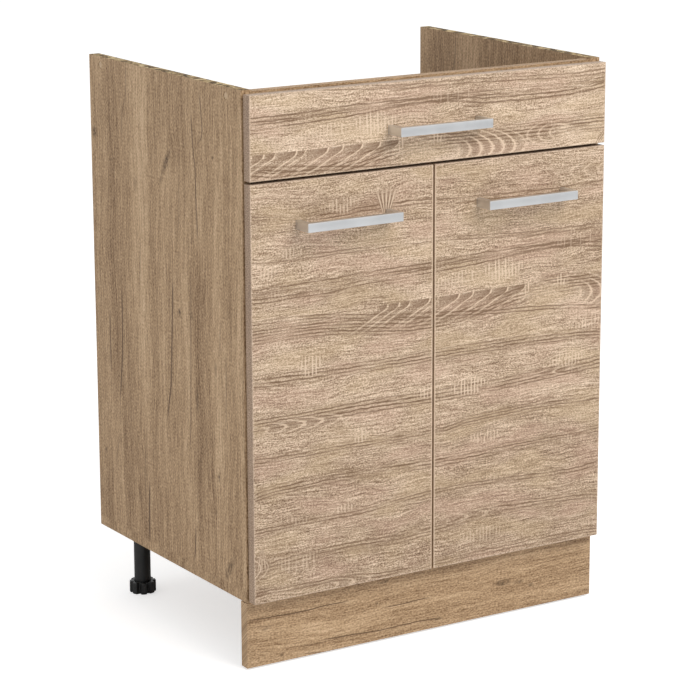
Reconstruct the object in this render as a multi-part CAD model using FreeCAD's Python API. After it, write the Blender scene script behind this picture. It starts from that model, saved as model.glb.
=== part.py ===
import FreeCAD, Part
import math
import os

from FreeCAD import Vector

# Kitchen sink base cabinet: an open-topped carcass on four adjustable legs, a fixed drawer
# front above a pair of doors on concealed hinges, three bow handles and a clip-on plinth.
# Millimetres. +X is the right side seen from the front, +Y points to the wall, +Z is up.
# The origin is on the floor, in the middle of the cabinet's footprint, handles included.

# Overall sizes
cabinet_width = 600.0
cabinet_height = 820.0
carcass_depth = 442.0
floor_to_carcass = 100.0

# Boards and their edge bands
board_thickness = 16.0
front_thickness = 16.0
band_thickness = 1.0
band_rounding = 0.6

# Fronts: how they stand on the carcass, and the gaps round them
front_gap = 2.0
side_reveal = 2.0
bottom_reveal = 2.0
top_reveal = 5.0
row_gap = 4.0
pair_gap = 3.0
drawer_front_height = 117.0

# Rails between the side panels
front_rail_drop = 2.0
front_rail_behind_doors = 16.0
rear_rail_height = 100.0
rear_rail_drop = 150.0
wall_hole_radius = 3.0
wall_hole_edge_distance = 60.0

# Plinth board
plinth_thickness = 16.0
plinth_top_gap = 1.0
plinth_floor_gap = 3.0
plinth_setback = 1.0

# Wooden dowels
dowel_radius = 4.0
dowel_length = 30.0
dowel_in_face = 12.0
dowel_glue_space = 2.0
dowel_margin = 20.0
dowel_setback = 60.0

# Long screws that hold the side panels on the bottom panel
carcass_screw_radius = 3.4
carcass_screw_head_radius = 5.0
carcass_screw_head_height = 3.0
carcass_screw_length = 50.0
carcass_screw_setback = 30.0

# Cam fittings that draw the rails against the side panels
cam_radius = 7.4
cam_height = 12.0
cam_setback = 34.0
cam_bolt_radius = 3.0
cam_bolt_in_panel = 11.0

# Fits and cuts shared by the fasteners
screw_clearance = 0.15
fitting_clearance = 0.1
cut_overrun = 1.0
recess_width = 0.9
recess_depth = 0.8
tip_share = 0.12

# An edge lies along an axis when its direction has at least this share of it
along_axis_share = 0.9

# Cover caps in the side panels' spare fitting holes
cap_radius = 5.0
cap_thickness = 1.0
cap_sink = 0.1
cap_gap = 0.25
cap_stem_radius = 3.9
cap_stem_length = 8.0
cap_below_top = 12.0
cap_front_setback = 41.0
cap_rear_setback = 35.0

# Screws and spacers of the fixed drawer front
front_screw_radius = 2.0
front_screw_head_radius = 4.0
front_screw_head_height = 2.4
front_screw_bite = 12.0
front_screw_edge_distance = 22.0
front_screw_from_end = 98.0
spacer_radius = 8.0

# Bow handles, bent from one flat bar
handle_length = 154.0
handle_width = 13.0
handle_projection = 33.0
handle_bar_thickness = 8.0
handle_inner_radius = 3.0
handle_bevel = 0.9
drawer_handle_below_edge = 65.0
door_handle_below_edge = 61.0

# Handle screws
handle_screw_radius = 2.0
handle_screw_head_radius = 4.0
handle_screw_head_height = 2.4
handle_screw_bite = 14.0
handle_access_clearance = 3.0

# Door bumpers
bumper_radius = 4.0
bumper_clearance = 0.3
bumper_edge_distance = 8.0
bumper_side_distance = 12.0

# Concealed hinge: places. The link's two pins are upright, parallel to the door's edge
hinge_end_distance = 100.0
arm_pin_inset = 36.0
arm_pin_setback = 6.0
cup_pin_from_edge = 8.5
cup_pin_sink = 7.0
cup_rim_from_edge = 4.0

# Concealed hinge: cup and its flange
cup_radius = 17.5
cup_wall = 0.9
cup_floor = 0.9
cup_fit = 0.15
flange_clearance = 0.8
flange_rim = 0.9
flange_half_height = 29.0
flange_inner_reach = 16.0
flange_outer_reach = 2.0
flange_corner_radius = 5.0
cup_screw_spacing = 45.0
cup_screw_offset = 9.5
cup_screw_radius = 1.7
cup_screw_head_radius = 3.4
cup_screw_head_height = 1.6
cup_screw_length = 11.0
ear_thickness = 1.8

# Concealed hinge: link, pins and eyes
link_half_height = 5.0
link_thickness = 2.5
pin_radius = 1.5
pin_running_fit = 0.05
pin_rivet_fit = 0.02
eye_wall = 1.5
link_side_gap = 0.5
cup_running_gap = 0.8
elbow_running_gap = 0.55

# Concealed hinge: arm and mounting plate
arm_wall = 1.5
arm_height = 13.0
arm_nose_setback = 10.0
arm_rear_setback = 60.0
arm_cheek_radius = 3.8
cheek_plate_gap = 2.5
plate_base_thickness = 2.5
plate_base_depth = 18.0
plate_base_half_height = 24.0
plate_side_gap = 0.5
plate_front_setback = 20.0
system_row_setback = 37.0
plate_screw_spacing = 32.0
plate_screw_radius = 2.9
plate_screw_head_radius = 4.2
plate_screw_head_height = 1.8
plate_screw_length = 11.0
arm_screw_radius = 2.4
arm_screw_head_radius = 3.6
arm_screw_head_height = 1.6
arm_screw_length = 7.0

# Legs: a tube with a mounting flange, and a screw-in foot
front_leg_inset = 48.0
front_leg_setback = 48.0
rear_leg_inset = 41.0
rear_leg_from_rear = 54.0
leg_tube_radius = 12.5
leg_flange_radius = 27.0
leg_flange_thickness = 5.0
leg_bore_radius = 8.3
leg_bore_roof = 15.0
foot_radius = 20.0
foot_height = 18.0
foot_recess_depth = 6.0
foot_recess_gap = 0.7
foot_tube_overlap = 1.0
foot_stem_gap = 0.3
foot_stem_headroom = 10.0
foot_notches = 8
foot_notch_width = 4.5
foot_notch_depth = 4.5
foot_turn_share = 0.5
foot_edge_rounding = 1.5
leg_screw_radius = 1.7
leg_screw_head_radius = 3.2
leg_screw_head_height = 1.6
leg_screw_length = 17.0
leg_screw_circle_radius = 20.0
leg_screws = 4

# Plinth clips, each gripping a front leg
clip_height = 20.0
clip_centre_height = 50.0
clip_wall = 3.0
clip_grip_gap = 0.3
clip_arm_extra = 2.0
clip_neck_width = 12.0
clip_base_width = 56.0
clip_base_thickness = 3.0
clip_screw_from_middle = 22.0
clip_screw_radius = 1.7
clip_screw_head_radius = 3.2
clip_screw_head_height = 1.6
clip_screw_length = 13.0

# Sizes worked out from those above
half_width = cabinet_width / 2
panel_inner = half_width - board_thickness
carcass_top_of_bottom = floor_to_carcass + board_thickness
total_depth = carcass_depth + front_gap + front_thickness + handle_projection
rear_plane = total_depth / 2
carcass_front = rear_plane - carcass_depth
front_back_plane = carcass_front - front_gap
front_face_plane = front_back_plane - front_thickness
front_half_width = half_width - side_reveal
plinth_back = carcass_front + plinth_setback + plinth_thickness
door_low = floor_to_carcass + bottom_reveal
drawer_high = cabinet_height - top_reveal
drawer_low = drawer_high - drawer_front_height
door_high = drawer_low - row_gap
drawer_handle_z = drawer_high - drawer_handle_below_edge
door_handle_z = door_high - door_handle_below_edge
door_middle_x = (pair_gap / 2 + front_half_width) / 2
handle_screw_from_middle = (handle_length - handle_bar_thickness) / 2
flange_thickness = front_gap - flange_clearance
eye_radius = pin_radius + eye_wall
cup_depth = cup_pin_sink + eye_radius + cup_running_gap + cup_floor
elbow_sink = cup_depth - cup_floor - link_thickness / 2 - elbow_running_gap
cup_centre_x = front_half_width - cup_rim_from_edge - cup_radius
cup_inner_radius = cup_radius - cup_fit - cup_wall
cup_pin = (front_half_width - cup_pin_from_edge, front_back_plane - cup_pin_sink)
arm_pin = (half_width - arm_pin_inset, carcass_front + arm_pin_setback)
elbow = (cup_centre_x, front_back_plane - elbow_sink)
cheek_inner = link_half_height + link_side_gap
cheek_outer = cheek_inner + arm_wall
ear_outer = cheek_inner + ear_thickness
plate_face = panel_inner - plate_base_thickness
arm_web_inner = plate_face - arm_height
arm_web_outer = arm_web_inner - arm_wall
plate_middle_y = carcass_front + system_row_setback
arm_rear_y = carcass_front + arm_rear_setback
arm_nose_y = carcass_front + arm_nose_setback
hinge_heights = {"lower": door_low + hinge_end_distance, "upper": door_high - hinge_end_distance}
foot_recess_radius = leg_tube_radius + foot_recess_gap
foot_stem_radius = leg_bore_radius - foot_stem_gap
leg_tube_bottom = foot_height - foot_tube_overlap
leg_bore_top = floor_to_carcass - leg_bore_roof
leg_places = {
    "front_left": (front_leg_inset - half_width, carcass_front + front_leg_setback),
    "front_right": (half_width - front_leg_inset, carcass_front + front_leg_setback),
    "rear_left": (rear_leg_inset - half_width, rear_plane - rear_leg_from_rear),
    "rear_right": (half_width - rear_leg_inset, rear_plane - rear_leg_from_rear),
}

x_axis = Vector(1, 0, 0)
y_axis = Vector(0, 1, 0)
z_axis = Vector(0, 0, 1)


def block(x_range, y_range, z_range):
    """Box between two bounds on each axis."""
    low = Vector(x_range[0], y_range[0], z_range[0])
    size = Vector(x_range[1], y_range[1], z_range[1]) - low
    return Part.makeBox(size.x, size.y, size.z, low)


def rod(radius, start, end):
    """Solid cylinder from one point to another."""
    run = end - start
    return Part.makeCylinder(radius, run.Length, start, run)


def upright_rod(radius, place, z_range):
    """Upright cylinder at a plan position."""
    return rod(radius, Vector(place[0], place[1], z_range[0]), Vector(place[0], place[1], z_range[1]))


def upright_prism(outline, z_range):
    """Prism over a plan outline."""
    points = [Vector(x, y, z_range[0]) for x, y in outline]
    face = Part.Face(Part.makePolygon(points + points[:1]))
    return face.extrude(z_axis * (z_range[1] - z_range[0]))


def mirrored(shape):
    """The same shape on the cabinet's other side."""
    return shape.mirror(Vector(0, 0, 0), x_axis)


def both_sides(shapes):
    """A list of right-hand shapes with their left-hand twins."""
    return shapes + [mirrored(shape) for shape in shapes]


def turned_to(shape, direction, place):
    """A shape built along +Z, turned to a direction and moved to a place."""
    rotation = FreeCAD.Rotation(z_axis, direction)
    shape.Placement = FreeCAD.Placement(place, rotation)
    return shape


def edges_along(shape, axis):
    """Straight edges of a shape that lie along an axis."""
    return [
        edge for edge in shape.Edges
        if abs(edge.tangentAt(edge.FirstParameter).dot(axis)) > along_axis_share
        and isinstance(edge.Curve, Part.Line)
    ]


def far_rim(shape, direction):
    """Round edge at the end of a rod that lies farthest along a direction."""
    return max(shape.Edges, key=lambda edge: edge.CenterOfMass.dot(direction))


def screw(radius, length, head_radius, head_height, seat, direction):
    """Pan-head screw with a cross recess; its head stands on the seat, along the direction."""
    tip = length * tip_share
    shank = Part.makeCylinder(radius, length - tip, Vector(0, 0, tip - length))
    point = Part.makeCone(radius / 2, radius, tip, Vector(0, 0, -length))
    head = Part.makeCylinder(head_radius, head_height)
    head = head.makeFillet(head_height / 2, [far_rim(head, z_axis)])
    body = shank.multiFuse([point, head]).removeSplitter()
    floor = head_height - recess_depth
    reach = head_radius / 2
    slots = [
        block((-reach, reach), (-recess_width / 2, recess_width / 2), (floor, head_height + cut_overrun)),
        block((-recess_width / 2, recess_width / 2), (-reach, reach), (floor, head_height + cut_overrun)),
    ]
    return turned_to(body.cut(slots), direction, seat)


def rounded_strip(x_range, y_range, z_range, run, outward):
    """Edge band strip along a run, whose two long outer arrises are rounded."""
    strip = block(x_range, y_range, z_range)
    outer = max(edge.CenterOfMass.dot(outward) for edge in strip.Edges)
    outer_edges = [
        edge for edge in edges_along(strip, run)
        if edge.CenterOfMass.dot(outward) > outer - band_thickness / 2
    ]
    return strip.makeFillet(band_rounding, outer_edges)


def pocket(radius, mouth, direction, depth):
    """Cutter for a blind round hole, which runs past its mouth."""
    unit = Vector(direction).normalize()
    return rod(radius, mouth - unit * cut_overrun, mouth + unit * depth)


# Rails: each is an upright board between the side panels. A rail's face that takes the cams
# looks into the cabinet.
rails = {
    "front_rail": {
        "y": (carcass_front, carcass_front + board_thickness),
        "z_high": cabinet_height - front_rail_drop,
        "height": cabinet_height - front_rail_drop - (door_high - front_rail_behind_doors),
        "cams_to_wall": True,
    },
    "rear_upper_rail": {
        "y": (rear_plane - board_thickness, rear_plane),
        "z_high": cabinet_height - rear_rail_drop,
        "height": rear_rail_height,
        "cams_to_wall": False,
    },
    "rear_lower_rail": {
        "y": (rear_plane - board_thickness, rear_plane),
        "z_high": carcass_top_of_bottom + rear_rail_height,
        "height": rear_rail_height,
        "cams_to_wall": False,
    },
}


def rail_middle(rail):
    """Depth and height of a rail's middle line."""
    return sum(rail["y"]) / 2, rail["z_high"] - rail["height"] / 2


def rail_dowel_points(rail):
    """Where the dowels at a rail's right-hand end cross the side panel's inner face."""
    middle_y, middle_z = rail_middle(rail)
    half_spacing = rail["height"] / 2 - dowel_margin
    return [Vector(panel_inner, middle_y, middle_z + sign * half_spacing) for sign in (-1, 1)]


def rail_cam(rail):
    """Cam, cam hole and bolt of a rail's right-hand end."""
    middle_y, middle_z = rail_middle(rail)
    cam_x = panel_inner - cam_setback
    mouth_y = rail["y"][1] if rail["cams_to_wall"] else rail["y"][0]
    inward = Vector(0, -1, 0) if rail["cams_to_wall"] else y_axis
    mouth = Vector(cam_x, mouth_y, middle_z)
    hole = pocket(cam_radius + fitting_clearance, mouth, inward, cam_height)
    cam = rod(cam_radius, mouth, mouth + inward * cam_height)
    bolt_start = Vector(panel_inner + cam_bolt_in_panel, middle_y, middle_z)
    bolt_end = Vector(cam_x + cam_radius / 2, middle_y, middle_z)
    bolt = rod(cam_bolt_radius, bolt_start, bolt_end)
    bolt_way = rod(cam_bolt_radius + fitting_clearance, bolt_start, Vector(cam_x, middle_y, middle_z))
    slot_reach = cam_radius / 2
    slot_half = recess_width
    depth_range = sorted((mouth_y - inward.y * cut_overrun, mouth_y + inward.y * recess_depth))
    slots = []
    for half_x, half_z in ((slot_reach, slot_half), (slot_half, slot_reach)):
        x_range = (cam_x - half_x, cam_x + half_x)
        slots.append(block(x_range, depth_range, (middle_z - half_z, middle_z + half_z)))
    return cam.cut([bolt_way] + slots), hole, bolt, bolt_way


def rail_board(name, rail):
    """Rail with its dowel, cam, bolt and screw holes."""
    z_range = (rail["z_high"] - rail["height"], rail["z_high"])
    board = block((-panel_inner, panel_inner), rail["y"], z_range)
    cuts = []
    dowel_depth = dowel_length - dowel_in_face + dowel_glue_space
    for point in rail_dowel_points(rail):
        cuts.append(pocket(dowel_radius + fitting_clearance, point, -x_axis, dowel_depth))
    _, hole, _, bolt_way = rail_cam(rail)
    cuts += [hole, bolt_way]
    cuts = both_sides(cuts)
    if name == "front_rail":
        for x, z in drawer_screw_places():
            start = Vector(x, rail["y"][0] - cut_overrun, z)
            end = Vector(x, rail["y"][1] + cut_overrun, z)
            cuts.append(rod(front_screw_radius + screw_clearance, start, end))
        for sign in (-1, 1):
            x = sign * handle_screw_from_middle
            start = Vector(x, rail["y"][0] - cut_overrun, drawer_handle_z)
            end = Vector(x, rail["y"][1] + cut_overrun, drawer_handle_z)
            cuts.append(rod(handle_screw_head_radius + handle_access_clearance, start, end))
    if name == "rear_upper_rail":
        _, middle_z = rail_middle(rail)
        for sign in (-1, 1):
            x = sign * (panel_inner - wall_hole_edge_distance)
            start = Vector(x, rail["y"][0] - cut_overrun, middle_z)
            end = Vector(x, rail["y"][1] + cut_overrun, middle_z)
            cuts.append(rod(wall_hole_radius, start, end))
    return board.cut(cuts)


def rail_fittings():
    """Dowels, cams and cam bolts of every rail, both ends."""
    dowels = []
    cams = []
    bolts = []
    for rail in rails.values():
        for point in rail_dowel_points(rail):
            start = point + x_axis * dowel_in_face
            dowels.append(rod(dowel_radius, start, start - x_axis * dowel_length))
        cam, _, bolt, _ = rail_cam(rail)
        cams.append(cam)
        bolts.append(bolt)
    return both_sides(dowels), both_sides(cams), both_sides(bolts)


def bottom_joint_points():
    """Dowel and screw places where the right-hand side panel stands on the bottom panel."""
    x = half_width - board_thickness / 2
    dowel_ys = (carcass_front + dowel_setback, rear_plane - dowel_setback)
    screw_ys = (carcass_front + carcass_screw_setback, rear_plane - carcass_screw_setback)
    dowels = [Vector(x, y, carcass_top_of_bottom) for y in dowel_ys]
    screws = [Vector(x, y, floor_to_carcass) for y in screw_ys]
    return dowels, screws


def bottom_joint_fasteners():
    """Upright dowels and long screws of both side panels."""
    dowel_points, screw_points = bottom_joint_points()
    dowels = []
    screws = []
    for point in dowel_points:
        low = point - z_axis * dowel_in_face
        dowels.append(rod(dowel_radius, low, low + z_axis * dowel_length))
    for point in screw_points:
        seat = point + z_axis * carcass_screw_head_height
        screws.append(screw(carcass_screw_radius, carcass_screw_length, carcass_screw_head_radius,
                            carcass_screw_head_height, seat, -z_axis))
    return both_sides(dowels), both_sides(screws)


def cap_points():
    """Middles of the right-hand side panel's two spare fitting holes, on its outer face."""
    z = cabinet_height - cap_below_top
    ys = (carcass_front + cap_front_setback, rear_plane - cap_rear_setback)
    return [Vector(half_width, y, z) for y in ys]


def cover_caps():
    """Mushroom-shaped caps, a little below the side panels' outer faces."""
    caps = []
    for point in cap_points():
        face = point - x_axis * cap_sink
        disc = rod(cap_radius, face - x_axis * cap_thickness, face)
        stem_start = face - x_axis * cap_thickness
        stem = rod(cap_stem_radius, stem_start, stem_start - x_axis * cap_stem_length)
        caps.append(disc.fuse(stem))
    return both_sides(caps)


def side_panel():
    """Right-hand side panel, behind its front edge band, with its fitting holes."""
    x_range = (panel_inner, half_width)
    y_range = (carcass_front + band_thickness, rear_plane)
    panel = block(x_range, y_range, (carcass_top_of_bottom, cabinet_height))
    cuts = []
    for rail in rails.values():
        for point in rail_dowel_points(rail):
            cuts.append(pocket(dowel_radius + fitting_clearance, point, x_axis, dowel_in_face))
        middle_y, middle_z = rail_middle(rail)
        point = Vector(panel_inner, middle_y, middle_z)
        cuts.append(pocket(cam_bolt_radius + fitting_clearance, point, x_axis, cam_bolt_in_panel))
    dowel_points, screw_points = bottom_joint_points()
    dowel_depth = dowel_length - dowel_in_face + dowel_glue_space
    for point in dowel_points:
        cuts.append(pocket(dowel_radius + fitting_clearance, point, z_axis, dowel_depth))
    screw_reach = carcass_screw_length + carcass_screw_head_height - board_thickness
    for point in screw_points:
        mouth = point + z_axis * board_thickness
        cuts.append(pocket(carcass_screw_radius + screw_clearance, mouth, z_axis, screw_reach))
    for point in cap_points():
        cuts.append(pocket(cap_radius + cap_gap, point, -x_axis, cap_thickness + cap_sink))
        stem_depth = cap_thickness + cap_sink + cap_stem_length
        cuts.append(pocket(cap_stem_radius + fitting_clearance, point, -x_axis, stem_depth))
    for z in hinge_heights.values():
        for sign in (-1, 1):
            mouth = Vector(panel_inner, plate_middle_y, z + sign * plate_screw_spacing / 2)
            hole_depth = plate_screw_length - plate_base_thickness
            cuts.append(pocket(plate_screw_radius + screw_clearance, mouth, x_axis, hole_depth))
    return panel.cut(cuts)


def leg_screw_places(middle):
    """Places of the screws round one leg's flange."""
    places = []
    for index in range(leg_screws):
        angle = math.pi * (2 * index + 1) / leg_screws
        x = middle[0] + leg_screw_circle_radius * math.cos(angle)
        y = middle[1] + leg_screw_circle_radius * math.sin(angle)
        places.append((x, y))
    return places


def bottom_panel():
    """Full-width bottom panel inside its edge bands; both side panels stand on it."""
    x_half = half_width - band_thickness
    y_range = (carcass_front + band_thickness, rear_plane)
    panel = block((-x_half, x_half), y_range, (floor_to_carcass, carcass_top_of_bottom))
    dowel_points, screw_points = bottom_joint_points()
    cuts = []
    for point in dowel_points:
        cuts.append(pocket(dowel_radius + fitting_clearance, point, -z_axis, dowel_in_face))
    for point in screw_points:
        through = board_thickness + cut_overrun
        cuts.append(pocket(carcass_screw_radius + screw_clearance, point, z_axis, through))
        head_hole_radius = carcass_screw_head_radius + screw_clearance
        cuts.append(pocket(head_hole_radius, point, z_axis, carcass_screw_head_height))
    cuts = both_sides(cuts)
    bite = leg_screw_length - leg_flange_thickness
    for middle in leg_places.values():
        for x, y in leg_screw_places(middle):
            mouth = Vector(x, y, floor_to_carcass)
            cuts.append(pocket(leg_screw_radius + screw_clearance, mouth, z_axis, bite))
    return panel.cut(cuts)


def carcass_bands():
    """Edge bands on the side panels' front edges and round the bottom panel."""
    front = (carcass_front, carcass_front + band_thickness)
    side_z = (carcass_top_of_bottom, cabinet_height)
    side = rounded_strip((panel_inner, half_width), front, side_z, z_axis, -y_axis)
    bottom_z = (floor_to_carcass, carcass_top_of_bottom)
    end_y = (carcass_front + band_thickness, rear_plane)
    end = rounded_strip((half_width - band_thickness, half_width), end_y, bottom_z, y_axis, x_axis)
    bottom_front = rounded_strip((-half_width, half_width), front, bottom_z, x_axis, -y_axis)
    return both_sides([side, end]) + [bottom_front]


def front_board(x_range, z_range):
    """Board of a door or drawer front, inside its four edge bands, and the bands."""
    y_range = (front_face_plane, front_back_plane)
    inner_x = (x_range[0] + band_thickness, x_range[1] - band_thickness)
    inner_z = (z_range[0] + band_thickness, z_range[1] - band_thickness)
    board = block(inner_x, y_range, inner_z)
    bands = [
        rounded_strip((x_range[0], inner_x[0]), y_range, z_range, z_axis, -x_axis),
        rounded_strip((inner_x[1], x_range[1]), y_range, z_range, z_axis, x_axis),
        rounded_strip(inner_x, y_range, (z_range[0], inner_z[0]), x_axis, -z_axis),
        rounded_strip(inner_x, y_range, (inner_z[1], z_range[1]), x_axis, z_axis),
    ]
    return board, bands


def drawer_screw_places():
    """Where screws come through the front rail into the fixed drawer front."""
    x = front_half_width - front_screw_from_end
    zs = (drawer_low + front_screw_edge_distance, drawer_high - front_screw_edge_distance)
    return [(side * x, z) for side in (-1, 1) for z in zs]


def handle_screw_holes(middle_x, z):
    """Cutters for the two screws of one handle, right through a front."""
    cuts = []
    for sign in (-1, 1):
        x = middle_x + sign * handle_screw_from_middle
        start = Vector(x, front_face_plane - cut_overrun, z)
        end = Vector(x, front_back_plane + cut_overrun, z)
        cuts.append(rod(handle_screw_radius + screw_clearance, start, end))
    return cuts


def drawer_front():
    """Fixed drawer front and its bands."""
    board, bands = front_board((-front_half_width, front_half_width), (drawer_low, drawer_high))
    cuts = handle_screw_holes(0, drawer_handle_z)
    for x, z in drawer_screw_places():
        mouth = Vector(x, front_back_plane, z)
        cuts.append(pocket(front_screw_radius + screw_clearance, mouth, -y_axis, front_screw_bite))
    return board.cut(cuts), bands


def drawer_front_fixings():
    """Screws through the front rail, and the spacers they pass through."""
    screws = []
    spacers = []
    length = board_thickness + front_gap + front_screw_bite
    for x, z in drawer_screw_places():
        seat = Vector(x, carcass_front + board_thickness, z)
        screws.append(screw(front_screw_radius, length, front_screw_head_radius, front_screw_head_height,
                            seat, y_axis))
        spacer = rod(spacer_radius, Vector(x, front_back_plane, z), Vector(x, carcass_front, z))
        hole_start = Vector(x, front_back_plane - cut_overrun, z)
        hole_end = Vector(x, carcass_front + cut_overrun, z)
        spacers.append(spacer.cut(rod(front_screw_radius + screw_clearance, hole_start, hole_end)))
    return screws, spacers


def right_door():
    """Right-hand door and its bands; hinges are on its right edge."""
    x_range = (pair_gap / 2, front_half_width)
    board, bands = front_board(x_range, (door_low, door_high))
    cuts = handle_screw_holes(door_middle_x, door_handle_z)
    for z in hinge_heights.values():
        mouth = Vector(cup_centre_x, front_back_plane, z)
        cuts.append(pocket(cup_radius, mouth, -y_axis, cup_depth))
        for place in cup_screw_places(z):
            bite = cup_screw_length - flange_thickness
            cuts.append(pocket(cup_screw_radius + screw_clearance, place, -y_axis, bite))
    return board.cut(cuts), bands


def door_bumpers():
    """Flat round bumpers in the corners of the right-hand door that meet the carcass."""
    thickness = front_gap - bumper_clearance
    x = pair_gap / 2 + bumper_side_distance
    bumpers = []
    for z in (door_low + bumper_edge_distance, door_high - bumper_edge_distance):
        start = Vector(x, front_back_plane, z)
        bumper = rod(bumper_radius, start, start + y_axis * thickness)
        bumpers.append(bumper.makeFillet(thickness / 2, [far_rim(bumper, y_axis)]))
    return bumpers


def handle(middle_x, z):
    """Bow handle: a flat bar bent back at both ends, with bevelled edges and a hole in each end."""
    half = handle_length / 2
    back = front_face_plane
    front = front_face_plane - handle_projection
    z_range = (z - handle_width / 2, z + handle_width / 2)
    outer = block((middle_x - half, middle_x + half), (front, back), z_range)
    outline_edges = [edge for edge in outer.Edges if edge.CenterOfMass.y < back - handle_bevel]
    outer = outer.makeChamfer(handle_bevel, outline_edges)
    inner_half = half - handle_bar_thickness
    inner_front = front + handle_bar_thickness
    inner = block((middle_x - inner_half, middle_x + inner_half), (inner_front, back + cut_overrun),
                  (z_range[0] - cut_overrun, z_range[1] + cut_overrun))
    corner_edges = [
        edge for edge in edges_along(inner, z_axis)
        if edge.CenterOfMass.y < inner_front + handle_inner_radius
    ]
    inner = inner.makeFillet(handle_inner_radius, corner_edges)
    bow = outer.cut(inner)
    cuts = []
    for sign in (-1, 1):
        mouth = Vector(middle_x + sign * handle_screw_from_middle, back, z)
        cuts.append(pocket(handle_screw_radius + screw_clearance, mouth, -y_axis, handle_screw_bite))
    return bow.cut(cuts)


def handle_screws(middle_x, z):
    """Two screws that hold a handle from behind its front."""
    length = front_thickness + handle_screw_bite
    screws = []
    for sign in (-1, 1):
        seat = Vector(middle_x + sign * handle_screw_from_middle, front_back_plane, z)
        screws.append(screw(handle_screw_radius, length, handle_screw_head_radius,
                            handle_screw_head_height, seat, y_axis))
    return screws


def cup_screw_places(z):
    """Screws of one hinge cup, on the door's inner face."""
    x = cup_centre_x - cup_screw_offset
    return [Vector(x, front_back_plane, z + sign * cup_screw_spacing / 2) for sign in (-1, 1)]


def hinge_cup(z):
    """Hinge cup in the right-hand door: bowl, flange, notch for the link and ears for its pin."""
    mouth = Vector(cup_centre_x, front_back_plane, z)
    bowl = rod(cup_radius - cup_fit, mouth - y_axis * cup_depth, mouth)
    flange_y = (front_back_plane, front_back_plane + flange_thickness)
    flange = block((cup_centre_x - flange_inner_reach, cup_centre_x + flange_outer_reach), flange_y,
                   (z - flange_half_height, z + flange_half_height))
    flange = flange.makeFillet(flange_corner_radius, edges_along(flange, y_axis))
    rim = rod(cup_radius + flange_rim, mouth, mouth + y_axis * flange_thickness)
    body = bowl.multiFuse([flange, rim]).removeSplitter()
    floor_y = front_back_plane - cup_depth + cup_floor
    top_y = front_back_plane + flange_thickness + cut_overrun
    hollow_start = Vector(cup_centre_x, floor_y, z)
    hollow = rod(cup_inner_radius, hollow_start, Vector(cup_centre_x, top_y, z))
    notch_half = link_half_height + link_side_gap
    notch = block((cup_centre_x, cup_centre_x + cup_radius + flange_rim + cut_overrun), (floor_y, top_y),
                  (z - notch_half, z + notch_half))
    body = body.cut([hollow, notch])
    ears = []
    for sign in (-1, 1):
        z_low, z_high = sorted((z + sign * cheek_inner, z + sign * ear_outer))
        pin_start = Vector(cup_pin[0], cup_pin[1], z_low)
        pin_end = Vector(cup_pin[0], cup_pin[1], z_high)
        ear_x = (cup_pin[0] - eye_radius, cup_centre_x + cup_radius)
        ear = block(ear_x, (floor_y - cup_floor / 2, cup_pin[1]), (z_low, z_high))
        ear = ear.fuse(rod(eye_radius, pin_start, pin_end))
        ears.append(ear.common(rod(cup_inner_radius + cup_wall / 2, hollow_start - y_axis * cup_floor,
                                   Vector(cup_centre_x, top_y, z))))
    body = body.multiFuse(ears)
    reach = ear_outer + cut_overrun
    cuts = [upright_rod(pin_radius + pin_running_fit, cup_pin, (z - reach, z + reach))]
    for place in cup_screw_places(z):
        start = place - y_axis * cut_overrun
        end = place + y_axis * (flange_thickness + cut_overrun)
        cuts.append(rod(cup_screw_radius + screw_clearance, start, end))
    return body.cut(cuts)


def cup_screws():
    """Flange screws of the right-hand door's two hinge cups."""
    screws = []
    for z in hinge_heights.values():
        for place in cup_screw_places(z):
            seat = place + y_axis * flange_thickness
            screws.append(screw(cup_screw_radius, cup_screw_length, cup_screw_head_radius,
                                cup_screw_head_height, seat, y_axis))
    return screws


def link_bar(start, end, z):
    """Straight flat stretch of the hinge link, seen from above as a thin bar."""
    run = Vector(end[0] - start[0], end[1] - start[1], 0)
    bar = Part.makeBox(run.Length, link_thickness, 2 * link_half_height,
                       Vector(0, -link_thickness / 2, -link_half_height))
    rotation = FreeCAD.Rotation(x_axis, run)
    bar.Placement = FreeCAD.Placement(Vector(start[0], start[1], z), rotation)
    return bar


def hinge_link(z):
    """Hooked link between arm and cup, with its two rivet pins."""
    z_range = (z - link_half_height, z + link_half_height)
    plate = link_bar(arm_pin, elbow, z).multiFuse([
        link_bar(elbow, cup_pin, z),
        upright_rod(link_thickness / 2, elbow, z_range),
        upright_rod(eye_radius, arm_pin, z_range),
        upright_rod(eye_radius, cup_pin, z_range),
    ]).removeSplitter()
    cut_range = (z_range[0] - cut_overrun, z_range[1] + cut_overrun)
    plate = plate.cut([
        upright_rod(pin_radius + pin_rivet_fit, arm_pin, cut_range),
        upright_rod(pin_radius + pin_rivet_fit, cup_pin, cut_range),
    ])
    pins = [
        upright_rod(pin_radius, arm_pin, (z - cheek_outer, z + cheek_outer)),
        upright_rod(pin_radius, cup_pin, (z - ear_outer, z + ear_outer)),
    ]
    return [plate] + pins


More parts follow.
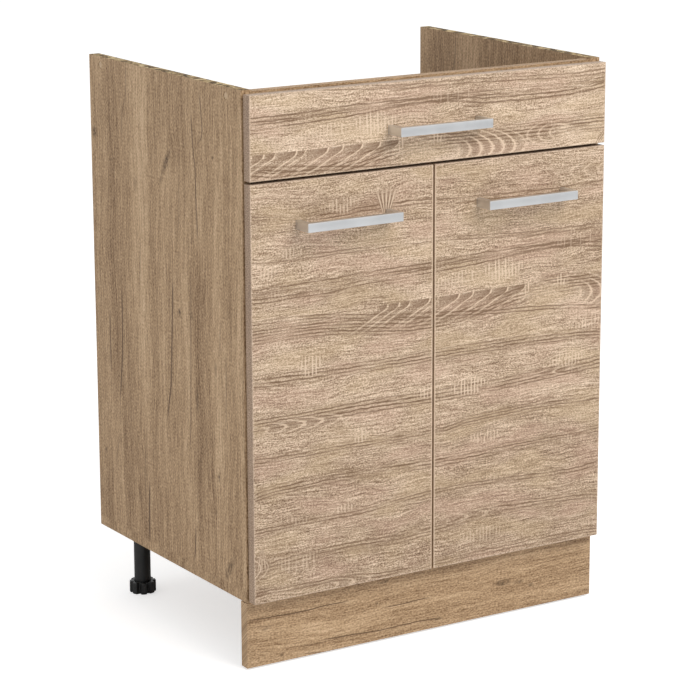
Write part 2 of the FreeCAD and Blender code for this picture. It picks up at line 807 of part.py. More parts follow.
def hinge_arm(z):
    """Channel-shaped arm over the mounting plate; its two cheeks taper forward to the link's pin."""
    cheek_top = plate_face - cheek_plate_gap
    neck_root_y = arm_nose_y + arm_cheek_radius
    arm_y = (arm_nose_y, arm_rear_y)
    pieces = [block((arm_web_outer, arm_web_inner), arm_y, (z - cheek_outer, z + cheek_outer))]
    for sign in (-1, 1):
        z_low, z_high = sorted((z + sign * cheek_inner, z + sign * cheek_outer))
        pieces.append(block((arm_web_outer, cheek_top), arm_y, (z_low, z_high)))
        pieces.append(upright_rod(arm_cheek_radius, arm_pin, (z_low, z_high)))
        neck = [
            (arm_pin[0] - arm_cheek_radius, arm_pin[1]),
            (arm_pin[0] + arm_cheek_radius, arm_pin[1]),
            (cheek_top, arm_nose_y),
            (cheek_top, neck_root_y),
            (arm_web_outer, neck_root_y),
            (arm_pin[0] - arm_cheek_radius, arm_nose_y),
        ]
        pieces.append(upright_prism(neck, (z_low, z_high)))
    reach = cheek_outer + cut_overrun
    screw_mouth = Vector(arm_web_outer, plate_middle_y, z)
    holes = [
        upright_rod(pin_radius + pin_running_fit, arm_pin, (z - reach, z + reach)),
        pocket(arm_screw_radius + screw_clearance, screw_mouth, x_axis, arm_wall + cut_overrun),
    ]
    return pieces[0].multiFuse(pieces[1:]).removeSplitter().cut(holes)


def hinge_plate(z):
    """Mounting plate on the side panel: a base with two wings, and a ridge inside the arm."""
    base = block((plate_face, panel_inner),
                 (plate_middle_y - plate_base_depth / 2, plate_middle_y + plate_base_depth / 2),
                 (z - plate_base_half_height, z + plate_base_half_height))
    base = base.makeFillet(flange_corner_radius, edges_along(base, x_axis))
    ridge_half = cheek_inner - plate_side_gap
    ridge = block((arm_web_inner, panel_inner), (carcass_front + plate_front_setback, arm_rear_y),
                  (z - ridge_half, z + ridge_half))
    holes = []
    hole_depth = plate_base_thickness + cut_overrun
    for sign in (-1, 1):
        mouth = Vector(plate_face, plate_middle_y, z + sign * plate_screw_spacing / 2)
        holes.append(pocket(plate_screw_radius + screw_clearance, mouth, x_axis, hole_depth))
    arm_screw_mouth = Vector(arm_web_inner, plate_middle_y, z)
    holes.append(pocket(arm_screw_radius + screw_clearance, arm_screw_mouth, x_axis, arm_screw_length))
    return base.fuse(ridge).removeSplitter().cut(holes)


def hinge_plate_screws():
    """Plate and arm screws of the right-hand side's two hinges."""
    plate_screws = []
    arm_screws = []
    for z in hinge_heights.values():
        for sign in (-1, 1):
            seat = Vector(plate_face, plate_middle_y, z + sign * plate_screw_spacing / 2)
            plate_screws.append(screw(plate_screw_radius, plate_screw_length, plate_screw_head_radius,
                                      plate_screw_head_height, seat, -x_axis))
        seat = Vector(arm_web_outer, plate_middle_y, z)
        arm_screws.append(screw(arm_screw_radius, arm_screw_length, arm_screw_head_radius,
                                arm_screw_head_height, seat, -x_axis))
    return plate_screws, arm_screws


def leg_tube(middle):
    """Leg tube with its mounting flange under the bottom panel, bored for the foot's stem."""
    flange_z = (floor_to_carcass - leg_flange_thickness, floor_to_carcass)
    tube = upright_rod(leg_tube_radius, middle, (leg_tube_bottom, floor_to_carcass))
    body = tube.fuse(upright_rod(leg_flange_radius, middle, flange_z)).removeSplitter()
    cuts = [upright_rod(leg_bore_radius, middle, (leg_tube_bottom - cut_overrun, leg_bore_top))]
    hole_z = (flange_z[0] - cut_overrun, flange_z[1] + cut_overrun)
    for place in leg_screw_places(middle):
        cuts.append(upright_rod(leg_screw_radius + screw_clearance, place, hole_z))
    return body.cut(cuts)


def leg_foot(middle):
    """Notched foot with a recess round the tube and a stem that screws into it."""
    disc = upright_rod(foot_radius, middle, (0, foot_height))
    disc = disc.makeFillet(foot_edge_rounding, [far_rim(disc, z_axis), far_rim(disc, -z_axis)])
    recess_z = (foot_height - foot_recess_depth, foot_height + cut_overrun)
    cuts = [upright_rod(foot_recess_radius, middle, recess_z)]
    centre = Vector(middle[0], middle[1], 0)
    notch_x = (foot_radius - foot_notch_depth, foot_radius + cut_overrun)
    notch_y = (-foot_notch_width / 2, foot_notch_width / 2)
    for index in range(foot_notches):
        notch = block(notch_x, notch_y, (-cut_overrun, foot_height + cut_overrun))
        angle = 2 * math.pi * (index + foot_turn_share) / foot_notches
        notch.Placement = FreeCAD.Placement(centre, FreeCAD.Rotation(z_axis, math.degrees(angle)))
        cuts.append(notch)
    stem = upright_rod(foot_stem_radius, middle, (recess_z[0], leg_bore_top - foot_stem_headroom))
    return disc.cut(cuts).fuse(stem)


def leg_flange_screws():
    """Screws of all four leg flanges."""
    screws = []
    for middle in leg_places.values():
        for x, y in leg_screw_places(middle):
            seat = Vector(x, y, floor_to_carcass - leg_flange_thickness)
            screws.append(screw(leg_screw_radius, leg_screw_length, leg_screw_head_radius,
                                leg_screw_head_height, seat, -z_axis))
    return screws


def plinth_clip_screw_places(middle_x):
    """Places of a clip's two screws on the plinth board's back."""
    y = plinth_back + clip_base_thickness
    return [Vector(middle_x + sign * clip_screw_from_middle, y, clip_centre_height) for sign in (-1, 1)]


def plinth_clip(middle):
    """Clip on the plinth board's back, whose two arms grip a front leg's tube."""
    z_range = (clip_centre_height - clip_height / 2, clip_centre_height + clip_height / 2)
    inner = leg_tube_radius + clip_grip_gap
    outer = inner + clip_wall
    x, y = middle
    arm_end = y + clip_arm_extra
    base = block((x - clip_base_width / 2, x + clip_base_width / 2),
                 (plinth_back, plinth_back + clip_base_thickness), z_range)
    neck = block((x - clip_neck_width / 2, x + clip_neck_width / 2), (plinth_back, y - inner), z_range)
    ring = upright_rod(outer, middle, z_range)
    sides = block((x - outer, x + outer), (y, arm_end), z_range)
    past = outer + cut_overrun
    behind = block((x - past, x + past), (y, y + past), z_range)
    grip = ring.cut(behind).fuse(sides)
    way_z = (z_range[0] - cut_overrun, z_range[1] + cut_overrun)
    hollow = upright_rod(inner, middle, way_z)
    way = block((x - inner, x + inner), (y, arm_end + cut_overrun), way_z)
    body = base.multiFuse([neck, grip]).cut([hollow, way]).removeSplitter()
    cuts = []
    hole_depth = clip_base_thickness + cut_overrun
    for place in plinth_clip_screw_places(x):
        cuts.append(pocket(clip_screw_radius + screw_clearance, place, -y_axis, hole_depth))
    return body.cut(cuts)


def plinth_board():
    """Plinth board in front of the legs, with its clips' screw holes."""
    y_range = (plinth_back - plinth_thickness, plinth_back)
    board = block((-half_width, half_width), y_range, (plinth_floor_gap, floor_to_carcass - plinth_top_gap))
    cuts = []
    bite = clip_screw_length - clip_base_thickness
    for name in ("front_left", "front_right"):
        for place in plinth_clip_screw_places(leg_places[name][0]):
            mouth = Vector(place.x, plinth_back, place.z)
            cuts.append(pocket(clip_screw_radius + screw_clearance, mouth, -y_axis, bite))
    return board.cut(cuts)


def plinth_clip_parts():
    """Both clips and their screws."""
    clips = []
    screws = []
    for name in ("front_left", "front_right"):
        middle = leg_places[name]
        clips.append(plinth_clip(middle))
        for place in plinth_clip_screw_places(middle[0]):
            screws.append(screw(clip_screw_radius, clip_screw_length, clip_screw_head_radius,
                                clip_screw_head_height, place, y_axis))
    return clips, screws



def build_nodes():
    """Every node's solids by name."""
    nodes = {}
    right_panel = side_panel()
    nodes["right_side_panel"] = [right_panel]
    nodes["left_side_panel"] = [mirrored(right_panel)]
    nodes["bottom_panel"] = [bottom_panel()]
    for name, rail in rails.items():
        nodes[name] = [rail_board(name, rail)]
    rail_dowels, cams, bolts = rail_fittings()
    bottom_dowels, long_screws = bottom_joint_fasteners()
    nodes["dowels"] = rail_dowels + bottom_dowels
    nodes["rail_cams"] = cams
    nodes["rail_cam_bolts"] = bolts
    nodes["carcass_screws"] = long_screws
    nodes["cover_caps"] = cover_caps()
    nodes["carcass_edge_bands"] = carcass_bands()

    board, bands = drawer_front()
    nodes["fixed_drawer_front"] = [board]
    nodes["drawer_front_bands"] = bands
    nodes["drawer_front_screws"], nodes["drawer_front_spacers"] = drawer_front_fixings()
    nodes["drawer_front_handle"] = [handle(0, drawer_handle_z)]
    nodes["drawer_front_handle_screws"] = handle_screws(0, drawer_handle_z)

    board, bands = right_door()
    right_pieces = {
        "door": [board],
        "door_bands": bands,
        "door_bumpers": door_bumpers(),
        "door_handle": [handle(door_middle_x, door_handle_z)],
        "door_handle_screws": handle_screws(door_middle_x, door_handle_z),
        "hinge_cup_screws": cup_screws(),
    }
    for level, z in hinge_heights.items():
        right_pieces[level + "_hinge_cup"] = [hinge_cup(z)]
        right_pieces[level + "_hinge_link"] = hinge_link(z)
        right_pieces[level + "_hinge_arm"] = [hinge_arm(z)]
        right_pieces[level + "_hinge_plate"] = [hinge_plate(z)]
    for name, solids in right_pieces.items():
        nodes["right_" + name] = solids
        nodes["left_" + name] = [mirrored(solid) for solid in solids]
    plate_screws, arm_screws = hinge_plate_screws()
    nodes["hinge_plate_screws"] = both_sides(plate_screws)
    nodes["hinge_arm_screws"] = both_sides(arm_screws)

    for name, middle in leg_places.items():
        nodes[name + "_leg_tube"] = [leg_tube(middle)]
        nodes[name + "_leg_foot"] = [leg_foot(middle)]
    nodes["leg_screws"] = leg_flange_screws()
    nodes["plinth_board"] = [plinth_board()]
    nodes["plinth_clips"], nodes["plinth_clip_screws"] = plinth_clip_parts()
    return nodes


def main():
    os.makedirs("parts", exist_ok=True)
    nodes = build_nodes()
    for name, solids in nodes.items():
        shape = solids[0] if len(solids) == 1 else Part.makeCompound(solids)
        count = len(shape.Solids)
        if not shape.isValid() or count != len(solids):
            print("check", name, "valid", shape.isValid(), "solids", count, "of", len(solids))
        shape.exportStep("parts/" + name + ".step")
    print(len(nodes), "nodes,", sum(len(solids) for solids in nodes.values()), "solids")


main()
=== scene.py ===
# %% [markdown]
# A kitchen sink base cabinet. Its boards, hinges and legs come ready from the CAD frame, at
# their real sizes and in metres. This file gives them oak decor, metal and plastic, and adds
# the pieces whose small curves are easier to make as surfaces here.

# %% Frame and tools
import math
from functools import partialmethod

import bpy
import numpy as np
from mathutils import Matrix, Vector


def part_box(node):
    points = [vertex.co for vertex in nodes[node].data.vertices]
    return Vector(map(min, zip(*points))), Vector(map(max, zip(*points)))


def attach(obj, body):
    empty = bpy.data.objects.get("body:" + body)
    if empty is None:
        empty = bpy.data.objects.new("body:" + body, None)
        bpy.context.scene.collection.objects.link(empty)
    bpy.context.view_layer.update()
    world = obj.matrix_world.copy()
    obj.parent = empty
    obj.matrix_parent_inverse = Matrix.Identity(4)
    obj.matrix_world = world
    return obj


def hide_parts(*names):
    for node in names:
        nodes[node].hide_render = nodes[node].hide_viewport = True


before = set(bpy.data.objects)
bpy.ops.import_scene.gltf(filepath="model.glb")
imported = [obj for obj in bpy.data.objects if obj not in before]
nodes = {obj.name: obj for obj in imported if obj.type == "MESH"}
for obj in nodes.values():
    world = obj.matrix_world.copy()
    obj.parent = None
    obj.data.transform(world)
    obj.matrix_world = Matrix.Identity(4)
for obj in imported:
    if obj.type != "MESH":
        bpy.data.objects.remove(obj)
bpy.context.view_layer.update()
print("nodes in the frame:", len(nodes))

# %% [markdown]
# A cabinet like this is photographed with a long lens from a few metres away, so that its
# upright edges stay nearly parallel. The camera's place was found by matching the cabinet's
# known corners with where they are seen. A long lens far away was chosen over a short one
# near by, because a short one would bend the doors into wedges.

# %% Camera
LENS = 141.25
CAMERA_PLACE = (-2.11194, -3.32884, 1.35016)
CAMERA_TURN = (1.33113, 0.00317, -0.56429)
camera_data = bpy.data.cameras.new("camera")
camera_data.sensor_width = 36
camera_data.lens = LENS
camera_data.clip_end = 50
camera = bpy.data.objects.new("camera", camera_data)
camera.location = CAMERA_PLACE
camera.rotation_euler = CAMERA_TURN
bpy.context.scene.collection.objects.link(camera)
bpy.context.scene.camera = camera
bpy.context.scene.view_settings.view_transform = "Standard"
print("camera", [round(value, 3) for value in CAMERA_PLACE], "lens", LENS)

# %% [markdown]
# Materials are built from small node sums: a band of grain is a noise, a knot is a distance
# to a point. Written out one node at a time that would be hard to read, so a Field stands for
# one number that changes over a surface, and adding or multiplying Fields adds the nodes.
# Another way is to join nodes by hand in the editor, which can't be read as a formula.


# %% Fields: numbers over a surface
class Field:
    """One number at every point of a surface, held by a node's output."""

    def __init__(self, tree, socket):
        self.tree = tree
        self.socket = socket

    def combined(self, operation, *others):
        """This field and others put through one Math node."""
        node = self.tree.nodes.new("ShaderNodeMath")
        node.operation = operation
        plug(self.tree, self, node.inputs[0])
        for index, other in enumerate(others):
            plug(self.tree, other, node.inputs[index + 1])
        return Field(self.tree, node.outputs[0])

    def __rsub__(self, other):
        return self * -1.0 + other

    def eased(self, low, high):
        """0 below low, 1 above high, and a smooth rise between them. Low may be the larger."""
        node = self.tree.nodes.new("ShaderNodeMapRange")
        node.interpolation_type = "SMOOTHSTEP"
        node.clamp = True
        turned = low > high
        plug(self.tree, self, node.inputs["Value"])
        node.inputs["From Min"].default_value = min(low, high)
        node.inputs["From Max"].default_value = max(low, high)
        node.inputs["To Min"].default_value = 1.0 if turned else 0.0
        node.inputs["To Max"].default_value = 0.0 if turned else 1.0
        return Field(self.tree, node.outputs["Result"])


# size is the distance from nought, and fraction is what is left after taking the whole number
# away: a saw-tooth
OPERATIONS = {
    "__add__": "ADD", "__radd__": "ADD", "__sub__": "SUBTRACT", "__mul__": "MULTIPLY",
    "__rmul__": "MULTIPLY", "__truediv__": "DIVIDE", "power": "POWER", "root": "SQRT",
    "size": "ABSOLUTE", "fraction": "FRACT", "larger": "MAXIMUM", "smaller": "MINIMUM",
}
for method, operation in OPERATIONS.items():
    setattr(Field, method, partialmethod(Field.combined, operation))


print("a field has", len(OPERATIONS), "operations from one table")

# %% [markdown]
# A pattern needs to know where on the object it is, and it needs chance. The place is read in
# the object's own metres, so a pattern stays on its board when a door swings. Chance comes
# from a noise that is smooth at close range: stretching its coordinates turns round clouds
# into streaks. White noise would flicker from pixel to pixel.


# %% Place and noise
def plug(tree, value, socket):
    """A Field or a plain number goes into a node's input."""
    if isinstance(value, Field):
        tree.links.new(value.socket, socket)
    else:
        socket.default_value = value


def place(tree, output="Object"):
    """Where a point of the surface is, in metres, as three fields."""
    coordinates = tree.nodes.new("ShaderNodeTexCoord")
    split = tree.nodes.new("ShaderNodeSeparateXYZ")
    tree.links.new(coordinates.outputs[output], split.inputs[0])
    return [Field(tree, split.outputs[axis]) for axis in "XYZ"]


def facing(tree):
    """Which way the surface looks, as three fields."""
    return place(tree, "Normal")


def clouds(along, across, depth=0.0, detail=2.0, roughness=0.5):
    """Noise from 0 to 1, in units that the caller has already stretched."""
    tree = along.tree
    joined = tree.nodes.new("ShaderNodeCombineXYZ")
    for value, socket in zip((along, across, depth), joined.inputs):
        plug(tree, value, socket)
    noise = tree.nodes.new("ShaderNodeTexNoise")
    noise.inputs["Scale"].default_value = 1.0
    noise.inputs["Detail"].default_value = detail
    noise.inputs["Roughness"].default_value = roughness
    tree.links.new(joined.outputs[0], noise.inputs["Vector"])
    return Field(tree, noise.outputs["Fac"])


print("fields are ready")

# %% [markdown]
# Colours are written as a painter reads them on a screen, from 0 to 255. Blender counts
# light, so each is turned into linear light first. Skipping this step would make every
# colour too pale.


# %% Colours
def paint(red, green, blue):
    """Screen colour, 0 to 255, as linear light with a full alpha."""
    shares = np.array([red, green, blue]) / 255
    linear = np.where(shares <= 0.04045, shares / 12.92, ((shares + 0.055) / 1.055) ** 2.4)
    return (*linear.tolist(), 1.0)


def blend(amount, low, high):
    """Colour between two colours, each a paint() or an earlier blend."""
    tree = amount.tree
    mix = tree.nodes.new("ShaderNodeMix")
    mix.data_type = "RGBA"
    mix.clamp_factor = True
    plug(tree, amount, mix.inputs[0])
    for colour, socket in ((low, mix.inputs[6]), (high, mix.inputs[7])):
        if isinstance(colour, tuple):
            socket.default_value = colour
        else:
            tree.links.new(colour, socket)
    return mix.outputs[2]


def scale_ramp(amount, stops):
    """Colour read from a scale of (place, screen colour) stops."""
    tree = amount.tree
    ramp = tree.nodes.new("ShaderNodeValToRGB")
    plug(tree, amount, ramp.inputs[0])
    elements = ramp.color_ramp.elements
    while len(elements) < len(stops):
        elements.new(0.5)
    for element, (position, colour) in zip(elements, stops):
        element.position = position
        element.color = paint(*colour)
    return ramp.outputs[0]


def new_material(name, roughness=0.5, metallic=0.0):
    """Material with one Principled shader; returns it, its tree and its shader."""
    material = bpy.data.materials.new(name)
    material.use_nodes = True
    tree = material.node_tree
    shader = tree.nodes["Principled BSDF"]
    shader.inputs["Roughness"].default_value = roughness
    shader.inputs["Metallic"].default_value = metallic
    return material, tree, shader


def colour_in(tree, colour, shader):
    """A blend becomes the shader's base colour."""
    tree.links.new(colour, shader.inputs["Base Color"])


def relief(height, shader, depth):
    """Small ups and downs of the surface, in metres, from a field of 0 to 1."""
    tree = height.tree
    bump = tree.nodes.new("ShaderNodeBump")
    bump.inputs["Strength"].default_value = 1.0
    bump.inputs["Distance"].default_value = depth
    plug(tree, height, bump.inputs["Height"])
    tree.links.new(bump.outputs[0], shader.inputs["Normal"])


print("a mid grey of 128 is", round(paint(128, 128, 128)[0], 3), "in linear light")

# %% [markdown]
# The decor of the fronts imitates light oak, sawn rough and finely brushed. Its grain runs
# level. The drawer front and the doors are cut from two places of one long printed sheet, so
# a figure that is seen across both doors comes back in the drawer front, 218 mm further left
# and 230 mm higher. It could be a photograph of oak, but a formula has no pixels and no
# seams. So every feature below is placed on the sheet, in metres, and drawn by a sum.

# %% The printed sheet
SHEET_SHIFT = (0.218, 0.230)
ROW_GAP_LOW, ROW_GAP_HIGH = 0.6955, 0.6965


def metres(rows, lengths):
    """Table rows whose first few numbers, and any curve points, go from millimetres to metres."""
    table = []
    for row in rows:
        numbers = [part for part in row if not isinstance(part, tuple)]
        curves = [tuple((along / 1000, across / 1000) for along, across in part)
                  for part in row if isinstance(part, tuple)]
        table.append((*[value / 1000 for value in numbers[:lengths]], *numbers[lengths:], *curves))
    return table


def sheet_place(tree):
    """Place on the printed sheet: along the grain, across it, into the board.

    The fourth field is 1 in the drawer front and 0 in the doors.
    """
    x, y, z = place(tree)
    in_drawer_front = z.eased(ROW_GAP_LOW, ROW_GAP_HIGH)
    along = x + in_drawer_front * SHEET_SHIFT[0]
    across = z - in_drawer_front * SHEET_SHIFT[1]
    return along, across, y, in_drawer_front


def curve(value, points):
    """Smooth curve through (place, height) points, as a field of the value."""
    node = value.tree.nodes.new("ShaderNodeFloatCurve")
    places, heights = zip(*points)
    first, span = places[0], places[-1] - places[0]
    low = min(heights)
    rise = max(heights) + 0.0001 - low
    spots = node.mapping.curves[0].points
    while len(spots) < len(points):
        spots.new(0.5, 0.5)
    for spot, (where, height) in zip(spots, points):
        spot.location = ((where - first) / span, (height - low) / rise)
    node.mapping.update()
    plug(value.tree, (value - first) / span, node.inputs["Value"])
    return Field(value.tree, node.outputs[0]) * rise + low


def largest(fields):
    """The largest of several fields."""
    result = fields[0]
    for field in fields[1:]:
        result = result.larger(field)
    return result


print("the sheet is shifted by", SHEET_SHIFT, "metres in the drawer front")

# %% [markdown]
# Strands are bundles of thin late-wood lines that run the length of the board. Each one has
# a curve for its height, a width and a strength. Inside the bundle the lines are a saw-tooth
# of the distance from that curve, and a slow noise makes them come and go. They could be
# left to chance like the rest of the grain, but the eye finds these long lines first.

# %% Strands
STRANDS = metres((
    # in mm: half width, line spacing; strength; in mm: curve points along and across
    (9.5, 5.6, 1.0, ((-300, 359), (-107, 361.5), (0, 360), (116, 363), (300, 372))),
    (7.5, 5, 1.0, ((-300, 252.5), (-201, 265.5), (-144, 267), (-4, 260.5), (135, 262.5),
                   (300, 264.5))),
    (6, 5, 0.9, ((-300, 206.5), (-144, 209), (12, 217.5), (118, 215), (245, 211.5), (300, 220))),
    (8, 5.6, 0.8, ((-300, 150), (-131, 161), (-53, 159), (12, 161), (112, 172), (300, 163))),
    (7, 5, 0.9, ((-300, 309), (12, 309.5), (57, 315.5), (153, 318.5), (300, 319))),
    (8, 5.4, 1.0, ((-300, 421.5), (-126, 418.5), (-4, 419.5), (51, 420.5), (300, 412))),
    (12, 5.2, 1.0, ((-300, 484), (-180, 482), (-80, 474), (0, 470), (80, 480), (159, 491),
                    (222, 496.5), (520, 497.5))),
    (4.5, 5.2, 0.9, ((-300, 503), (-229, 503), (-115, 490), (-49, 484), (20, 478))),
    (7.5, 6, 0.9, ((-300, 537), (-197, 536), (-115, 540), (-15, 542.5), (94, 549.5), (211, 556.5),
                   (326, 546.5), (520, 558.5))),
    (5.5, 6, 0.9, ((-300, 550.5), (-187, 549), (-115, 551), (-15, 551), (100, 558), (211, 557.5),
                   (326, 556.5), (520, 562))),
    (5, 5, 0.7, ((-300, 592), (-212, 585.5), (-15, 585.5), (210, 576.5), (520, 572))),
    (6.5, 5.4, 0.8, ((-300, 648), (-228, 642.5), (-164, 640), (-100, 644.5), (120, 637),
                     (300, 640))),
    (5.5, 5, 0.8, ((-300, 116), (-141, 115), (-95, 111), (229, 110), (300, 107))),
), 2)


def strand_lines(along, across, sway, strand):
    """Thin dark lines inside one bundle, and the bundle's own soft darkening."""
    half_width, spacing, strength, points = strand
    offset = across - curve(along, points) + sway * 1.4
    inside = (offset.size() / (half_width * 1.15)).eased(1.15, 0.6)
    tooth = (offset / (spacing * 0.95) + sway * 150.0).fraction()
    line = tooth.eased(0.24, 0.46) * tooth.eased(0.84, 0.62)
    return line * inside * strength, inside * strength


print(len(STRANDS), "strands")

# %% [markdown]
# Where the saw ran nearly along a ring, the late wood shows as a row of dark wedges under a
# straight edge, with pale lines that leave each wedge's tip steeply and then flatten out. The
# place of each pale line is where along + sweep(depth) is the same, so one sum gives them all;
# the sweep is a smooth curve through a few measured places.

# %% Wedges
WEDGE_EDGE = 0.504
WEDGE_TIPS = (-0.098, -0.078, -0.058, -0.040, -0.006, 0.008, 0.044, 0.068, 0.099, 0.128, 0.159)
# how far a pale line has moved sideways at each depth under the edge
WEDGE_SWEEP = ((0.0, 0.0), (0.004, 0.0010), (0.0075, 0.0043), (0.0127, 0.0150), (0.025, 0.039),
               (0.045, 0.085), (0.070, 0.150))


def wedges(along, across, sway):
    """Dark wedges under the edge at WEDGE_EDGE, and the pale lines between them."""
    depth = (WEDGE_EDGE - across + sway * 0.5).larger(0.0)
    reach = along + curve(depth, WEDGE_SWEEP) + sway
    ring = curve(reach, [(tip, float(number)) for number, tip in enumerate(WEDGE_TIPS)]).fraction()
    under = (across + sway * 0.5).eased(WEDGE_EDGE + 0.0004, WEDGE_EDGE - 0.0004)
    span = reach.eased(-0.100, -0.084) * reach.eased(0.1605, 0.1585)
    dark = ring * 0.55 + 0.45
    fade = depth.eased(0.021, 0.002) * 0.85 + depth.eased(0.060, 0.020) * 0.15
    from_line = (reach - WEDGE_TIPS[0]).size()
    for tip in WEDGE_TIPS[1:]:
        from_line = from_line.smaller((reach - tip).size())
    # a line crosses the fibres aslant, so its width along them grows with the depth
    width = depth * 0.055 + 0.0011
    patchy_strength = clouds(along * 60.0, across * 220.0, 31.0, 0.0).eased(0.34, 0.60) * 0.7 + 0.3
    pale = (from_line / width).eased(1.5, 0.6) * depth.eased(0.044, 0.020) * patchy_strength
    thin = ((ring * 3.0).fraction() - 0.5).size().eased(0.36, 0.46) * depth.eased(0.048, 0.030)
    thin = thin * (from_line / width).eased(1.2, 2.2) * depth.eased(0.002, 0.008)
    dark = (dark * fade).larger(thin * 0.8) * (from_line / width).eased(0.8, 1.6)
    return dark * under * span, pale * under * span


print("one row of", len(WEDGE_TIPS), "wedges")

# %% [markdown]
# Loops are rings cut so flat that they turn back like hair-pins, and a plume is a few lines
# that leave one foot and spread. A loop's rings are a saw-tooth of length plus height squared,
# so each is a parabola lying on its side. Both are read off the same sheet as the strands.

# %% Loops and plumes
LOOPS = metres((
    # in mm: along, across, half length, half height; rings, way the tips point, strength
    (318, 480, 68, 30, 7.0, 1, 1.0),
    (398, 492, 40, 18, 4.0, -1, 0.6),
    (448, 499, 52, 7, 2.0, 1, 0.6),
    (-215, 352, 75, 13, 5.0, 1, 0.9),
    (-300, 154, 30, 20, 5.0, 1, 1.0),
    (138, 444, 20, 12, 4.0, -1, 0.3),
    (-135, 108, 55, 11, 4.0, 1, 0.7),
    (212, 367, 30, 6, 2.0, -1, 0.9),
    (60, 170, 50, 10, 3.0, 1, 0.5),
    (262, 660, 50, 16, 4.0, -1, 0.5),
), 4)
FLAMES = metres((
    # in mm: along, foot across, half length, height; lines, strength
    (-80, 626, 20, 46, 5.0, 1.2),
    (-286, 182, 14, -40, 4.0, 0.8),
), 4)


def loop_rings(along, across, loop):
    """Nested hair-pin rings with their tips one way: the dark between them and their pale lines."""
    middle_along, middle_across, half_length, half_height, count, way, strength = loop
    run = (along - middle_along) * (way / half_length)
    rise = (across - middle_across) / half_height
    ring = (run + rise.power(2.0) * 0.8) * (count * 0.5)
    from_line = 0.5 - (ring.fraction() - 0.5).size()
    near = (run.power(2.0) + rise.power(2.0)).eased(1.25, 0.25) * strength
    return from_line.eased(0.10, 0.30) * near, from_line.eased(0.13, 0.04) * near


def flame_lines(along, across, flame):
    """Lines that leave one foot side by side and spread apart, like a plume."""
    middle_along, foot, half_length, height, count, strength = flame
    rise = (across - foot) / height
    spread = rise.larger(0.0) * 0.9 + 0.15
    run = (along - middle_along) / half_length
    tooth = (run / spread * (count * 0.5) + 0.5).fraction()
    line = tooth.eased(0.10, 0.45) * tooth.eased(0.90, 0.55)
    near = rise.eased(-0.05, 0.10) * rise.eased(1.0, 0.6) * (run / spread).size().eased(1.1, 0.8)
    return line * near * strength, near * strength


print(len(LOOPS), "loops and", len(FLAMES), "plumes")

# %% [markdown]
# The saw's teeth left groups of short pale strokes across the grain. A group is an ellipse.
# In it the strokes stand about 6 mm apart, and a noise along the board gives each stroke its
# own length and strength.

# %% Saw marks
SAW_STROKES = 172.0
SAW_GROUPS = metres((
    # in mm: along, across, half length, half height; strength
    (120, 532, 36, 16, 1.0),
    (52, 528, 22, 11, 0.8),
    (12, 523, 26, 9, 0.6),
    (-32, 518, 24, 8, 0.5),
    (163, 495, 4, 16, 1.2),
    (226, 504, 12, 10, 0.9),
    (268, 437, 30, 13, 0.9),
    (-203, 432, 24, 15, 1.0),
    (63, 366, 34, 13, 1.1),
    (-10, 368, 20, 10, 0.8),
    (236, 383, 34, 12, 0.8),
    (-124, 321, 14, 12, 0.9),
    (90, 287, 30, 10, 0.9),
    (-149, 218, 18, 7, 0.9),
    (-225, 213, 20, 6, 0.5),
    (238, 262, 14, 6, 0.7),
    (-150, 652, 26, 12, 0.9),
    (-235, 595, 20, 8, 0.8),
    (-270, 570, 16, 8, 0.7),
    (-226, 150, 36, 14, 0.6),
    (85, 140, 40, 12, 0.6),
    (480, 532, 30, 6, 0.6),
    (250, 560, 40, 10, 0.4),
), 4)


def saw_group(along, across, group):
    """1 well inside the group's ellipse, nought outside."""
    middle_along, middle_across, half_length, half_height, strength = group
    run = ((along - middle_along) / half_length).power(2.0)
    rise = ((across - middle_across) / half_height).power(2.0)
    return (run + rise).eased(1.2, 0.5) * strength


def saw_strokes(along, across, sway):
    """Pale strokes across the grain, inside the groups and faintly in between."""
    strokes = (along * SAW_STROKES + sway * 90.0).fraction()
    stroke = strokes.eased(0.05, 0.30) * strokes.eased(0.65, 0.40)
    lengths = clouds(along * SAW_STROKES, across * 60.0, 5.0, 0.0).eased(0.30, 0.50)
    groups = largest([saw_group(along, across, group) for group in SAW_GROUPS])
    shy = clouds(along * 22.0, across * 60.0, 9.0, 1.0).eased(0.54, 0.70) * 0.35
    return stroke * lengths * groups.larger(shy)


print(len(SAW_GROUPS), "groups of saw marks")

# %% [markdown]
# The face is laid down from coarse to fine: slow patches of tone, streaks, short dashes and
# the grit of the brushed fibres. The strands, wedges, loops and saw marks follow. The same
# fields raise and sink the surface by about a tenth of a millimetre, since the press gives
# the real foil a relief that follows its print.


# %% Light oak of the fronts
FIBRE_GAP = 0.0042
SHADE_PLACES = (0.0, 0.1875, 0.3438, 0.5, 0.6562, 0.8125, 1.0)
LIGHT_SHADES = ((98, 72, 50), (129, 103, 78), (160, 134, 109), (189, 164, 138), (213, 188, 162),
                (234, 209, 183), (250, 230, 206))
LIGHT_BASE = 1.555  # brings the sum of the weighted noises to a half, the middle shade
# painted light: the drawer front is painted paler and the doors darker low down, as light brighter
# higher up would make them; the tones by height also hold some of the print's own tone
DRAWER_FRONT_PAINTED_LIGHT = 0.085
HEIGHT_LIGHT_AND_TONES = ((0.10, -0.09), (0.20, -0.10), (0.29, -0.08), (0.35, 0.0), (0.50, 0.0),
                (0.58, -0.05), (0.70, -0.06))
PINKER, YELLOWER = paint(198, 158, 140), paint(198, 172, 130)
STRAND_SHADE, STRAND_LINE = paint(174, 147, 119), paint(108, 80, 54)
LATE_WOOD, PALE_LINE = paint(118, 90, 65), paint(226, 201, 174)
# the arris colour is a painted highlight along the rounded edges of the fronts
SAW_MARK, ARRIS_HIGHLIGHT = paint(230, 206, 180), paint(222, 198, 173)
FRONT_RELIEF = 0.00022


def oak_colours(level, shades):
    """Wood colour by level, from the darkest shade at -0.3 to the palest at 1.3."""
    return scale_ramp((level + 0.3) / 1.6, list(zip(SHADE_PLACES, shades)))


